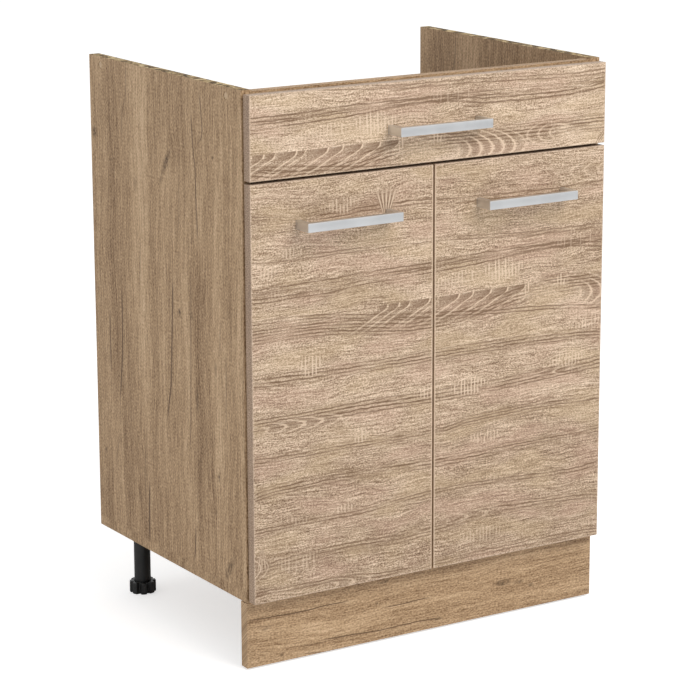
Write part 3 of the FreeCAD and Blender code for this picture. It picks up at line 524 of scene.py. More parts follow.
def light_oak():
    """Material of the fronts' faces."""
    material, tree, shader = new_material("light_oak", 0.55)
    along, across, depth, in_drawer_front = sheet_place(tree)
    slow = clouds(along * 4.0, across * 14.0, 3.1, 1.0) - 0.5
    quick = clouds(along * 60.0, across * 150.0, 1.9, 1.0) - 0.5
    sway = slow * 0.006 + quick * 0.0016
    wave = clouds(along * 20.0, across * 46.0, 8.0, 0.0) - 0.5
    bent = across + slow * 0.024 + wave * 0.0075 + quick * 0.0014

    patches = clouds(along * 5.5, bent * 18.0, 5.0, 2.0)
    height_light_and_tone = curve(across, HEIGHT_LIGHT_AND_TONES)
    tone = clouds(along * 13.0, bent * 66.0, depth + 4.0, 2.0, 0.6)
    # fibres: fine level lines whose place across the board wanders, so they break into strokes
    wander = clouds(along * 30.0, bent * 110.0, depth + 2.0, 1.0)
    fibre = ((bent / FIBRE_GAP + wander * 3.0).fraction() - 0.5).size() * 2.0
    dash = clouds(along * 26.0, bent * 480.0, depth, 2.0, 0.7)
    grit = clouds(along * 420.0, bent * 860.0, depth, 0.0)
    level = patches * 0.44 + tone * 0.32 + fibre * 0.30 + dash * 1.50 + grit * 1.55 - LIGHT_BASE
    # painted light by height: the doors darker low down, the drawer front paler
    level = level + height_light_and_tone + in_drawer_front * DRAWER_FRONT_PAINTED_LIGHT
    colour = oak_colours(level, LIGHT_SHADES)
    # one patch leans to pink, the next to yellow
    hue = clouds(along * 9.0, bent * 24.0, 21.0, 1.0)
    colour = blend(hue.eased(0.48, 0.68) * 0.22, colour, PINKER)
    colour = blend(hue.eased(0.52, 0.32) * 0.22, colour, YELLOWER)

    bundles = [strand_lines(along, across, sway, strand) for strand in STRANDS]
    lines = largest([line for line, inside in bundles])
    inside = largest([inside for line, inside in bundles])
    fitful = clouds(along * 14.0, across * 60.0, 14.0, 1.0).eased(0.36, 0.54) * 0.60 + 0.40
    colour = blend(inside * fitful * 0.26, colour, STRAND_SHADE)
    colour = blend(lines * fitful * 0.86, colour, STRAND_LINE)

    dark, pale = wedges(along, across, sway)
    rings = [loop_rings(along + sway * 0.8, across + sway * 0.8, loop) for loop in LOOPS]
    plumes = [flame_lines(along + sway * 0.6, across, flame) for flame in FLAMES]
    loops = largest([between for between, line in rings]) * 0.55
    loops = loops.larger(largest([near for line, near in plumes]) * 0.8)
    ragged = dash * 0.8 + 0.55
    colour = blend((dark * ragged).smaller(1.0) * 0.85, colour, LATE_WOOD)
    colour = blend((loops * ragged).smaller(1.0) * 0.75, colour, LATE_WOOD)
    pale = pale.larger(largest([line for line, near in plumes] + [line for between, line in rings]))
    colour = blend(pale * 0.75, colour, PALE_LINE)

    marks = saw_strokes(along, across, sway)
    colour = blend(marks * 0.80, colour, SAW_MARK)
    # painted highlight: a pale line along the arris round each front, broken up by the grit and
    # stronger at the inner edges where the doors meet
    x, y, z = place(tree)
    low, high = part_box("left_door")
    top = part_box("fixed_drawer_front")
    outer = -low[0] - x.size()
    inner = (x.size() + high[0]).larger(in_drawer_front)
    door_ends = (z - low[2]).size().smaller((z - high[2]).size())
    ends = door_ends.smaller((z - top[0][2]).size()).smaller((z - top[1][2]).size())
    rim = outer.smaller(inner).smaller(ends)
    patchy_strength = (grit * 2.6 - 0.9).smaller(1.0).larger(0.0) * 0.8
    patchy_strength = patchy_strength.larger(inner.eased(0.0040, 0.0020) * 0.5)
    colour = blend(rim.eased(0.0018, 0.0006) * patchy_strength, colour, ARRIS_HIGHLIGHT)
    colour_in(tree, colour, shader)
    height = fibre * 0.3 + dash * 0.8 + grit * 0.6 + marks * 0.4 - lines * 0.5 - dark * 0.4
    relief(height, shader, FRONT_RELIEF)
    return material


light_oak_face = light_oak()
print("light oak has", len(light_oak_face.node_tree.nodes), "nodes")

# %% [markdown]
# The carcass has another decor: a browner oak with knots and long drying cracks, upright on
# the sides and level on the plinth. It is the same idea with other waves. A knot pushes the
# grain apart, so the grain's position is moved away from the knot before the bands are read,
# which is simpler than drawing curved lines round it.

# %% Figures of the side panels
SIDE_KNOTS = metres((
    # in mm: along, across, half length, half height; lean, strength
    (693, 17, 26, 10, -0.6, 1.0),
    (668, 32, 12, 6, -0.3, 0.5),
    (364, -63, 24, 6, 0.0, 0.8),
    (419, -117, 14, 5, 0.0, 0.5),
    (481, -15, 9, 5, 0.1, 1.0),
    (483, -50, 8, 6, 0.0, 0.8),
    (138, -149, 26, 10, -0.6, 0.8),
    (707, 236, 12, 9, 0.0, 1.0),
    (673, 183, 4, 4, 0.0, 1.0),
    (718, -116, 4, 4, 0.0, 0.8),
    (648, 111, 18, 8, 0.0, 0.3),
    (179, 116, 16, 5, 0.1, 0.5),
    (211, -111, 6, 4, 0.0, 0.8),
    (265, -121, 10, 4, 0.0, 0.8),
    (224, 224, 7, 4, 0.0, 0.7),
), 4)
SIDE_CRACKS = metres((
    # in mm: half width; strength; in mm: curve points along and across
    (2.4, 0.5, ((713, 149), (743, 147), (780, 134), (824, 132))),
    (2.4, 0.7, ((725, -71), (735, -79), (750, -88), (773, -86), (810, -80))),
    (2.4, 0.8, ((596, -71), (652, -68), (694, -67), (721, -62), (774, -58))),
    (2, 0.4, ((593, -12), (623, -18), (672, -19))),
    (2.4, 0.5, ((285, -40), (375, -44), (463, -47), (550, -50))),
    (2.6, 0.9, ((312, 26), (338, 22), (377, 13), (452, 8), (526, 3))),
    (2.6, 0.9, ((311, 174), (344, 168), (421, 161), (482, 161))),
    (3, 0.7, ((352, 201), (447, 200))),
    (2.6, 1.0, ((116, 90.5), (163, 88.5), (210, 85))),
    (2.4, 0.9, ((119, -46), (146, -50), (177, -52))),
    (2.4, 0.4, ((175, 100), (260, 97))),
    (2.4, 0.4, ((339, -143), (447, -146))),
    (2, 0.4, ((436, -126), (494, -132))),
    (2, 0.4, ((289, -86), (329, -89))),
    (2, 0.3, ((492, 103), (574, 98))),
    (2.4, 0.4, ((206, 192.5), (232, 185), (260, 175))),
), 1)
SIDE_BANDS = metres((
    # in mm: along, across, half length, half width; tone
    (580, 178, 300, 24, -0.17),
    (700, 222, 100, 12, -0.08),
    (600, 98, 330, 30, 0.1),
    (760, -5, 80, 30, -0.08),
    (380, -34, 300, 12, 0.08),
    (400, -72, 200, 20, -0.13),
    (420, -120, 300, 14, 0.07),
    (600, -153, 130, 10, -0.08),
    (150, -112, 140, 22, -0.12),
    (450, -192, 400, 14, 0.06),
    (180, 150, 120, 20, -0.08),
), 4)
print(len(SIDE_KNOTS), "knots and", len(SIDE_CRACKS), "cracks in a side panel")

# %% [markdown]
# The plinth board shows a shorter piece of the same decor, laid level: one rough knot right of
# the middle, a few long hair cracks, and calm grain between. Its figures get their own short
# tables, because a piece cut from the side panels' tables would bring knots that aren't there.

# %% Figures of the plinth
PLINTH_KNOTS = metres((
    # as for SIDE_KNOTS
    (138, 50, 20, 7, 0.0, 0.9),
    (167, 46, 14, 5, 0.0, 0.6),
    (190, 37, 7, 4, 0.0, 0.7),
    (-72, 89, 10, 3, 0.0, 0.8),
    (-84, 60, 4, 4, 0.0, 0.9),
    (23, 15.5, 10, 3, 0.0, 1.0),
    (256, 12, 3, 3, 0.0, 0.7),
    (-270, 57, 14, 6, 0.0, 0.4),
    (-244, 14, 5, 3, 0.0, 0.6),
), 4)
PLINTH_CRACKS = metres((
    # as for SIDE_CRACKS
    (1.2, 1.0, ((-300, 73.5), (-263, 71.8), (-213, 70.6), (-163, 72.4), (-130, 70))),
    (1.1, 1.0, ((-75, 52.5), (-44, 50), (-18, 51), (12, 50))),
    (1.3, 0.9, ((-180, 22), (-130, 20), (-70, 17.5), (-18, 18), (30, 14.5))),
    (1.1, 0.7, ((-214, 8), (-164, 2))),
    (1.1, 0.5, ((-300, 63), (-246, 58))),
    (1.2, 0.6, ((-214, 18.5), (-164, 19))),
), 1)
PLINTH_BANDS = metres((
    # as for SIDE_BANDS
    (-50, 20, 160, 8, -0.1),
    (100, 30, 180, 6, -0.06),
    (-120, 70, 150, 10, 0.06),
    (0, 92, 250, 8, -0.07),
    (-180, 40, 100, 12, 0.05),
), 4)
print(len(PLINTH_KNOTS), "knots and", len(PLINTH_CRACKS), "cracks in the plinth")

# %% [markdown]
# With the figures in tables, one function serves every carcass board: it is told which way the
# grain runs and which figures to draw. The rails and the bottom panel, of which the photo
# shows almost nothing, get the same grain with a single knot and no cracks.

# %% Brown oak of the carcass
BROWN_SHADES = ((98, 71, 43), (129, 99, 68), (155, 125, 92), (179, 148, 113), (197, 166, 130),
                (211, 181, 146), (225, 197, 162))
BROWN_BASE = 1.765  # brings the sum of the weighted noises to a half, the middle shade
PORE, CRACK, KNOT, KNOT_HEART = (paint(120, 92, 66), paint(82, 58, 36), paint(128, 102, 72),
                                 paint(78, 56, 36))
BOARD_RELIEF = 0.00012


def knot_fields(along, across, knot):
    """Nearness to a knot, 1 at its middle, and the push it gives the grain beside it."""
    middle_along, middle_across, half_length, half_height, lean, strength = knot
    run = (along - middle_along) / half_length
    rise = (across - middle_across - (along - middle_along) * lean) / half_height
    distance = (run.power(2.0) + rise.power(2.0)).root()
    near = distance.eased(1.0, 0.2) * strength
    beside = (run.size() * 0.6).eased(1.6, 0.0) * rise.size().eased(4.5, 0.4)
    push = (rise / (rise.size() + 0.6)) * beside * (half_height * 0.75 * strength)
    return near, push


def crack_field(along, across, wobble, crack):
    """One dark hair line along the grain, which thins out towards both ends."""
    half_width, strength, points = crack
    start, end = points[0][0], points[-1][0]
    offset = (across + wobble * 0.002 - curve(along, points)).size()
    taper = along.eased(start - 0.006, start + 0.02) * along.eased(end + 0.006, end - 0.02)
    return offset.eased(half_width, half_width * 0.2) * taper * strength


def band_field(along, across, band):
    """A long soft stripe that is darker or paler than the board."""
    middle_along, middle_across, half_length, half_width, tone = band
    run = ((along - middle_along) / half_length).size().eased(1.1, 0.6)
    rise = ((across - middle_across) / half_width).size().eased(1.5, 0.3)
    return run * rise * (tone * 1.4)


def grain_place(tree, grain):
    """Places along and across the grain: upright, level, or each strip of edge band its own way.

    The place across the grain is a sum of the other two, so each face of a board shows lines.
    """
    x, y, z = place(tree)
    if grain == "upright":
        return z, y + x.size() - 0.3
    if grain == "level":
        return x, z + y - PLINTH_FACE
    on_panel = x.size().eased(PANEL_INSIDE - 0.0001, PANEL_INSIDE + 0.0001)
    return x + (z - x) * on_panel, y + z + (x.size() - z) * on_panel


def brown_oak(name, grain, seed, knots, cracks, bands, light_and_tones):
    """Material of the carcass boards, whose grain runs upright or level."""
    material, tree, shader = new_material(name, 0.6)
    along, across = grain_place(tree, grain)
    wobble = clouds(along * 5.0, across * 12.0, seed, 2.0) - 0.5
    quick = clouds(along * 30.0, across * 70.0, seed, 1.0) - 0.5
    bent = across + wobble * 0.030 + quick * 0.002
    hearts = None
    for knot in knots:
        near, push = knot_fields(along, across + quick * 0.006, knot)
        bent = bent - push
        hearts = near if hearts is None else hearts.larger(near)

    wide = clouds(along * 1.8, bent * 26.0, seed + 1.0, 2.0, 0.6)
    tone = clouds(along * 5.0, bent * 80.0, seed + 2.0, 2.0, 0.6)
    streak = clouds(along * 9.0, bent * 300.0, seed + 3.0, 1.0, 0.7)
    dash = clouds(along * 50.0, bent * 480.0, seed, 1.0, 0.6)
    grit = clouds(along * 300.0, across * 500.0, seed, 0.0)
    level = wide * 0.80 + tone * 0.60 + streak * 1.00 + dash * 1.00 + grit * 1.15 - BROWN_BASE
    # a curve of tone along the grain; on the side panels it is painted light, darker towards the
    # bottom
    level = level + curve(along, light_and_tones)
    for band in bands:
        level = level + band_field(along, across + wobble * 0.02, band)
    colour = oak_colours(level, BROWN_SHADES)
    # pores: short dark dashes along the grain
    pores = clouds(along * 60.0, bent * 900.0, seed + 6.0, 0.0).eased(0.66, 0.76)
    pores = pores * clouds(along * 6.0, bent * 40.0, seed + 7.0, 1.0).eased(0.42, 0.62)
    colour = blend(pores * 0.40, colour, PORE)
    for crack in cracks:
        line = crack_field(along, across, wobble + quick, crack)
        colour = blend(line * 0.95, colour, CRACK)
    rough_heart = hearts * clouds(along * 150.0, across * 330.0, seed, 2.0, 0.7).eased(0.42, 0.58)
    colour = blend(hearts * 0.60, colour, KNOT)
    colour = blend(rough_heart * 0.90, colour, KNOT_HEART)
    colour_in(tree, colour, shader)
    height = streak * 0.5 + dash * 0.5 + grit * 0.4 - hearts * 0.5 - pores * 0.8
    relief(height, shader, BOARD_RELIEF)
    return material


# painted light: the side panels are painted darker towards the bottom, as light brighter higher up
# would leave them; the other curves are the boards' own tone
SIDE_PAINTED_LIGHT = ((0.10, -0.10), (0.50, -0.04), (0.82, -0.01))
LEVEL_TONES = ((-0.30, 0.01), (0.30, 0.00))
RAIL_TONES = ((-0.30, -0.12), (0.30, -0.10))
PLINTH_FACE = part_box("plinth_board")[0][1]
PANEL_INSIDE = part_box("right_side_panel")[0][0]
side_oak = brown_oak("brown_oak_upright", "upright", 2.0, SIDE_KNOTS, SIDE_CRACKS, SIDE_BANDS,
                     SIDE_PAINTED_LIGHT)
plinth_oak = brown_oak("brown_oak_plinth", "level", 5.0, PLINTH_KNOTS, PLINTH_CRACKS, PLINTH_BANDS,
                       LEVEL_TONES)
rail_oak = brown_oak("brown_oak_rails", "level", 7.0, PLINTH_KNOTS[:1], (), (), RAIL_TONES)
band_oak = brown_oak("brown_oak_bands", "strips", 9.0, PLINTH_KNOTS[:1], (), (), RAIL_TONES)
print("brown oak has", len(side_oak.node_tree.nodes), "nodes")

# %% [markdown]
# A board's raw edge shows its core: pressed wood chips, pale and dark. It could be a noise
# with a single size of spot, but chips overlap, so the cells of a Voronoi pattern are used,
# each with its own shade. The core shows only where an edge has no band, as on the top and
# rear edges of the side panels.


# %% Chip core and edge bands
def chips(tree, scale):
    """Pale and dark flakes as one field from 0 to 1."""
    coordinates = tree.nodes.new("ShaderNodeTexCoord")
    cells = tree.nodes.new("ShaderNodeTexVoronoi")
    cells.inputs["Scale"].default_value = scale
    tree.links.new(coordinates.outputs["Object"], cells.inputs["Vector"])
    split = tree.nodes.new("ShaderNodeSeparateColor")
    tree.links.new(cells.outputs["Color"], split.inputs[0])
    return Field(tree, split.outputs[0])


def chip_core(tree):
    """Colour of the core: coarse flakes with finer ones between them, and mostly fine behind."""
    behind = facing(tree)[1].size().eased(0.6, 0.9)
    coarse = chips(tree, 118.0) * (0.70 - behind * 0.62)
    fine = chips(tree, 430.0) * (0.30 + behind * 0.35)
    return scale_ramp(coarse + fine + behind * 0.15, (
        (0.15, (62, 48, 30)),
        (0.42, (120, 98, 68)),
        (0.62, (172, 148, 108)),
        (0.88, (218, 198, 156)),
    ))


def front_band():
    """Band round a front: brown and specked at the sides, painted paler on top as painted light
    from above, with painted light in the gap between the doors and a pale arris that is a painted
    highlight.
    """
    material, tree, shader = new_material("light_oak_band", 0.5)
    x, y, z = place(tree)
    # painted light: faces that look up get the paler top colour, as light from above would give
    # them, and the sides stay darker
    painted_lit_top = facing(tree)[2].eased(0.4, 0.8)
    spots = clouds(x * 500.0, z * 560.0, y * 500.0, 1.0, 0.6)
    drift = clouds(x * 40.0, z * 12.0, y * 90.0, 2.0)
    level = (spots * 0.8 + drift * 0.2 - 0.5) * 1.8 + 0.5
    side = scale_ramp(level, ((0.1, (104, 84, 72)), (0.5, (164, 137, 113)), (0.9, (206, 180, 156))))
    # painted light: the narrow gap between the doors is painted pale, as if lit from within by its
    # own pale edges
    side = blend(x.size().eased(0.005, 0.003) * 0.40, side, paint(226, 198, 162))
    top = scale_ramp(level, ((0.1, (128, 106, 88)), (0.5, (172, 150, 130)), (0.9, (204, 182, 160))))
    colour = blend(painted_lit_top, side, top)
    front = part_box("left_door_bands")[0][1]
    # painted highlight: a pale line along the band's front arris
    arris = y.eased(front + 0.0013, front + 0.0004)
    colour = blend(arris * (0.25 + level.eased(0.2, 0.8) * 0.4), colour, ARRIS_HIGHLIGHT)
    colour_in(tree, colour, shader)
    relief(spots, shader, 0.00006)
    return material


light_band = front_band()
print("edge finish:", light_band.name)

# %% [markdown]
# Metal and plastic. The handles are satin: they mirror the wood beside them, blurred, so
# their own pattern is faint brushing and a few smudges in the roughness. Zinc and nickel on
# the hidden fittings are duller. Black plastic gets the fine pitting of a mould.


# %% Metals and plastics
def metal(name, colour, roughness, spread, grain=(60.0, 60.0, 900.0)):
    """Metal whose roughness varies a little in brushed streaks."""
    material, tree, shader = new_material(name, roughness, 1.0)
    x, y, z = place(tree)
    brushed = clouds(x * grain[0], y * grain[1], z * grain[2], 3.0, 0.6)
    smudge = clouds(x * 25.0, y * 25.0, z * 25.0, 2.0)
    level = (brushed - 0.5) * spread + (smudge - 0.5) * (spread * 0.8) + roughness
    tree.links.new(level.larger(0.03).socket, shader.inputs["Roughness"])
    dark = tuple(value * 0.93 for value in colour[:3]) + (1.0,)
    colour_in(tree, blend(smudge.eased(0.35, 0.65), dark, colour), shader)
    relief(brushed, shader, 0.000004)
    return material


PITS_PER_METRE = 1500.0
PIT_DEPTH = 0.00004


def plastic(name, low, high, roughness):
    """Moulded plastic with a fine pitted skin and slight scuffs."""
    material, tree, shader = new_material(name, roughness)
    x, y, z = place(tree)
    pits = clouds(x * PITS_PER_METRE, y * PITS_PER_METRE, z * PITS_PER_METRE, 2.0, 0.6)
    scuff = clouds(x * 60.0, y * 60.0, z * 90.0, 3.0, 0.6)
    colour_in(tree, blend(scuff.eased(0.40, 0.75), low, high), shader)
    level = (scuff - 0.5) * 0.2 + roughness
    tree.links.new(level.socket, shader.inputs["Roughness"])
    relief(pits, shader, PIT_DEPTH)
    return material


def beech():
    """Plain beech of the dowels: pale, with short dark flecks."""
    material, tree, shader = new_material("beech", 0.7)
    x, y, z = place(tree)
    fleck = clouds(x * 500.0, y * 1500.0, z * 500.0, 2.0)
    colour = blend(fleck.eased(0.4, 0.65), paint(206, 170, 124), paint(172, 132, 90))
    colour_in(tree, colour, shader)
    relief(fleck, shader, 0.00005)
    return material


handle_metal = metal("satin_chrome", (0.74, 0.75, 0.76, 1.0), 0.34, 0.06, (900.0, 60.0, 60.0))
nickel = metal("nickel", (0.60, 0.59, 0.56, 1.0), 0.28, 0.12)
zinc = metal("zinc", (0.62, 0.63, 0.63, 1.0), 0.34, 0.16)
casting = metal("zinc_casting", (0.45, 0.46, 0.47, 1.0), 0.50, 0.2, (400.0, 400.0, 400.0))
black = plastic("black_plastic", paint(20, 20, 20), paint(34, 34, 34), 0.45)
brown = plastic("brown_plastic", paint(196, 168, 134), paint(208, 180, 146), 0.5)
white = plastic("white_plastic", paint(214, 213, 208), paint(226, 225, 221), 0.5)
rubber = plastic("clear_rubber", paint(196, 194, 186), paint(212, 210, 203), 0.35)
dowel_wood = beech()
print("metals and plastics:", len(bpy.data.materials), "materials so far")

# %% [markdown]
# Each board gets its finish by the way its faces look. One material could hold every case,
# but a board with a decor face and a raw edge is clearer as a material that picks one of
# two colours: where the surface looks up or back, the chip core shows.


# %% Boards: decor with raw edges
def with_raw_edges(decor, name, raw_axis):
    """Copy of a decor that shows the chip core where the surface faces along an axis."""
    material = decor.copy()
    material.name = name
    tree = material.node_tree
    shader = tree.nodes["Principled BSDF"]
    facing_way = dict(zip("xyz", facing(tree)))
    raw = None
    for axis in raw_axis:
        one = facing_way[axis].size()
        raw = one if raw is None else raw.larger(one)
    raw = raw.eased(0.6, 0.9)
    seen = shader.inputs["Base Color"].links[0].from_socket
    colour_in(tree, blend(raw, seen, chip_core(tree)), shader)
    # sawn chips are duller than the foil
    tree.links.new((raw * 0.4 + 0.6).socket, shader.inputs["Roughness"])
    return material


side_panel_finish = with_raw_edges(side_oak, "side_panel_oak", "zy")
print(side_panel_finish.name, "has", len(side_panel_finish.node_tree.nodes), "nodes")


# %% [markdown]
# Every CAD piece now gets one finish, by its name. The pieces could be coloured by hand in the
# editor, but names that end alike are one kind of part, so a rule catches them all, and the
# last line prints any piece that was forgotten.


# %% Dressing the frame
def dress(material, *names):
    """A material goes on every face of the named nodes."""
    for name in names:
        mesh = nodes[name].data
        mesh.materials.clear()
        mesh.materials.append(material)


def ending(*tails):
    """Names of the nodes that end in one of the tails."""
    return [name for name in nodes if name.endswith(tails)]


dress(side_panel_finish, "left_side_panel", "right_side_panel")
dress(plinth_oak, "plinth_board")
dress(rail_oak, "bottom_panel", "front_rail", "rear_upper_rail", "rear_lower_rail")
dress(band_oak, "carcass_edge_bands")
dress(light_oak_face, "fixed_drawer_front", "left_door", "right_door")
dress(light_band, "drawer_front_bands", "left_door_bands", "right_door_bands")
dress(dowel_wood, "dowels")
dress(casting, "rail_cams")
dress(brown, "cover_caps")
dress(white, "drawer_front_spacers")
dress(rubber, "left_door_bumpers", "right_door_bumpers")
dress(black, "plinth_clips", *ending("leg_tube", "leg_foot"))
dress(zinc, *ending("screws", "bolts"))
dress(nickel, *ending("hinge_cup", "hinge_link", "hinge_arm", "hinge_plate"))
dress(handle_metal, *ending("_handle"))
first_finish = {name: next(iter(node.data.materials), None) for name, node in nodes.items()}
undressed = [name for name, finish in first_finish.items() if not (finish and finish.use_nodes)]
print("nodes without a finish:", undressed)

# %% [markdown]
# Some pieces have small curves that a plain board doesn't: bent handles, lobed feet with a
# screw thread, turned leg tubes, domed caps. Each is a surface over two parameters: rows run
# along the piece and columns run round it. That gives any curve from one formula, where
# joining blocks and cylinders would leave seams.


# %% Surfaces from grids
def grid_surface(name, grids, material, smooth_below):
    """Closed mesh from grids of points (rows, columns, 3); each grid's two ends get a face.

    Edges between faces that meet at less than smooth_below degrees are shaded smooth.
    """
    points, faces, first = [], [], 0
    for grid in grids:
        rows, columns = grid.shape[:2]
        index = np.arange(rows * columns).reshape(rows, columns) + first
        beside = np.roll(index, -1, axis=1)
        quads = np.stack([index[:-1], beside[:-1], beside[1:], index[1:]], axis=-1).reshape(-1, 4)
        faces += quads.tolist()
        faces.append(index[0][::-1].tolist())
        faces.append(index[-1].tolist())
        points.append(grid.reshape(-1, 3))
        first += rows * columns
    mesh = bpy.data.meshes.new(name)
    mesh.from_pydata(np.concatenate(points).tolist(), [], faces)
    mesh.polygons.foreach_set("use_smooth", np.ones(len(mesh.polygons), dtype=bool))
    mesh.update()
    mesh.set_sharp_from_angle(angle=math.radians(smooth_below))
    mesh.materials.append(material)
    piece = bpy.data.objects.new(name, mesh)
    bpy.context.scene.collection.objects.link(piece)
    return piece


AXIS = 0.0001  # a turned profile starts and ends this near its axis


def turned(profile, columns, bulge=None):
    """Grid of a profile of (radius, height) rows, turned about the upright axis at nought.

    A bulge is a function of the angles and the profile that gives each point's extra radius.
    """
    profile = np.asarray(profile, dtype=float)
    angles = np.linspace(0.0, 2 * np.pi, columns, endpoint=False)
    radius = np.repeat(profile[:, :1], columns, axis=1)
    if bulge is not None:
        radius = radius + bulge(angles[None, :], profile[:, :1], profile[:, 1:2])
    height = np.repeat(profile[:, 1:2], columns, axis=1)
    return np.stack([radius * np.cos(angles), radius * np.sin(angles), height], axis=-1)


def arc(centre, radius, start, end, steps):
    """Points of an arc in the (radius, height) plane, angles in degrees."""
    angles = np.radians(np.linspace(start, end, steps))
    return [(centre[0] + radius * math.cos(a), centre[1] + radius * math.sin(a)) for a in angles]


def corners_of(name):
    """Low and high corner of a CAD node's box, as arrays."""
    return [np.array(corner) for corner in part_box(name)]


def finish_piece(piece, body, slot_name, *replaced):
    """The piece rides its body and stands for its CAD nodes, which it hides; slot_name is not used.
    """
    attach(piece, body)
    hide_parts(*replaced)
    size_mm = (np.array(piece.dimensions) * 1000).round(1).tolist()
    print(piece.name, "faces", len(piece.data.polygons), "size in mm", size_mm)


# %% [markdown]
# A bow handle is one flat bar with its two ends bent back at right angles. The bend is sharp
# outside and has a small radius inside, so the bar is thicker along the diagonal there. So
# the surface keeps two paths, an outer and an inner one, and each section is a rectangle
# with softened corners stretched from one path to the other. A bar swept along one middle
# path would have to be equally thick everywhere.

# %% Bow handles
HANDLE_HALF_LENGTH = 0.077
HANDLE_BAR = 0.008
HANDLE_HALF_WIDTH = 0.0065
HANDLE_REACH = 0.033
HANDLE_EDGE = 0.0009
OUTER_BEND, INNER_BEND = 0.0007, 0.003
LEG_STEPS, BEND_STEPS, BAR_STEPS = 6, 5, 26


def bow_path(half, front, back, radius):
    """Plan of one side of the bar, from the left end, round both bends, to the right end."""
    bend = np.linspace(0.0, np.pi / 2, BEND_STEPS)
    left = np.array([-half, front]) + radius * (1 - np.stack([np.cos(bend), np.sin(bend)], axis=1))
    right = left[::-1] * (-1, 1)
    leg_in = np.linspace((-half, back), left[0], LEG_STEPS)[:-1]
    bar = np.linspace(left[-1], right[0], BAR_STEPS)[1:-1]
    leg_out = np.linspace(right[-1], (half, back), LEG_STEPS)[1:]
    return np.concatenate([leg_in, left, bar, right, leg_out])


def softened_rectangle(bevel_in, bevel_up, steps):
    """Section round the bar: share of the thickness, and share of the width from -1 to 1."""
    corners = ((1 - bevel_in, 1 - bevel_up, 0), (bevel_in, 1 - bevel_up, 90),
               (bevel_in, -1 + bevel_up, 180), (1 - bevel_in, -1 + bevel_up, 270))
    section = []
    for across, up, start in corners:
        angles = np.radians(np.linspace(start, start + 90, steps))
        section += [(across + bevel_in * math.cos(a), up + bevel_up * math.sin(a)) for a in angles]
    return np.array(section)


def bow_handle(name, middle_x, middle_z, front_face, body):
    """Inner path plus a share of the way to the outer one, at each point of the section."""
    front = front_face - HANDLE_REACH
    outer = bow_path(HANDLE_HALF_LENGTH, front, front_face, OUTER_BEND)
    inner = bow_path(HANDLE_HALF_LENGTH - HANDLE_BAR, front + HANDLE_BAR, front_face, INNER_BEND)
    section = softened_rectangle(HANDLE_EDGE / HANDLE_BAR, HANDLE_EDGE / HANDLE_HALF_WIDTH, 5)
    share = section[None, :, 0, None]
    plan = inner[:, None, :] + (outer - inner)[:, None, :] * share
    height = np.broadcast_to(section[None, :, 1] * HANDLE_HALF_WIDTH, plan.shape[:2])
    grid = np.stack([plan[..., 0] + middle_x, plan[..., 1], height + middle_z], axis=-1)
    piece = grid_surface(name + "_bow", [grid], handle_metal, 20.0)
    finish_piece(piece, body, "handle_metal", name)


HANDLES = {"drawer_front_handle": "carcass", "left_door_handle": "left_door",
           "right_door_handle": "right_door"}
for handle_name, handle_body in HANDLES.items():
    low, high = corners_of(handle_name)
    middle = (low + high) / 2
    bow_handle(handle_name, middle[0], middle[2], high[1], handle_body)

# %% [markdown]
# A foot is a moulded disc with eight scooped notches for the fingers, a well round the tube
# and a screw that turns up into it. All of it is one profile turned about the screw's axis.
# The notches take radius away near eight angles, and the thread takes it away along a slope
# that climbs one pitch each turn. A thread could be faked with bumps, but the feet screw out
# and then its edge is seen against the light.

# %% Screw-in feet
FOOT_RADIUS = 0.020
FOOT_HEIGHT = 0.018
FOOT_WELL_RADIUS = 0.0132
FOOT_WELL_FLOOR = 0.012
STEM_RADIUS = 0.008
STEM_TOP = 0.075
THREAD_PITCH = 0.003
THREAD_DEPTH = 0.0007
NOTCHES = 8
NOTCH_HALF_WIDTH = 0.0030
NOTCH_DEPTH = 0.0045
NOTCH_INNER_RADIUS = 0.0135


def foot_bulge(angles, radius, height):
    """Notches in the rim and thread on the stem, both as radius taken away.

    A notch is half an ellipse round its own angle. The thread's phase climbs with the height
    and falls with the angle, so its groove winds up the stem.
    """
    turns = angles / (2 * np.pi)
    from_notch = np.abs((turns * NOTCHES - 0.5) % 1.0 - 0.5) * (2 * np.pi * FOOT_RADIUS / NOTCHES)
    scoop = np.sqrt(np.clip(1 - (from_notch / NOTCH_HALF_WIDTH)**2, 0.0, 1.0)) * NOTCH_DEPTH
    rim = np.clip((radius - NOTCH_INNER_RADIUS) / NOTCH_DEPTH, 0.0, 1.0)
    phase = (height / THREAD_PITCH - turns) % 1.0
    groove = np.clip(1.5 - np.abs(phase - 0.5) * 5, 0.0, 1.0) * THREAD_DEPTH
    threaded = (height > FOOT_WELL_FLOOR + 0.001) & (height < STEM_TOP - 0.0012)
    on_stem = threaded & (radius <= STEM_RADIUS + 1e-6)
    return -scoop * rim - groove * on_stem


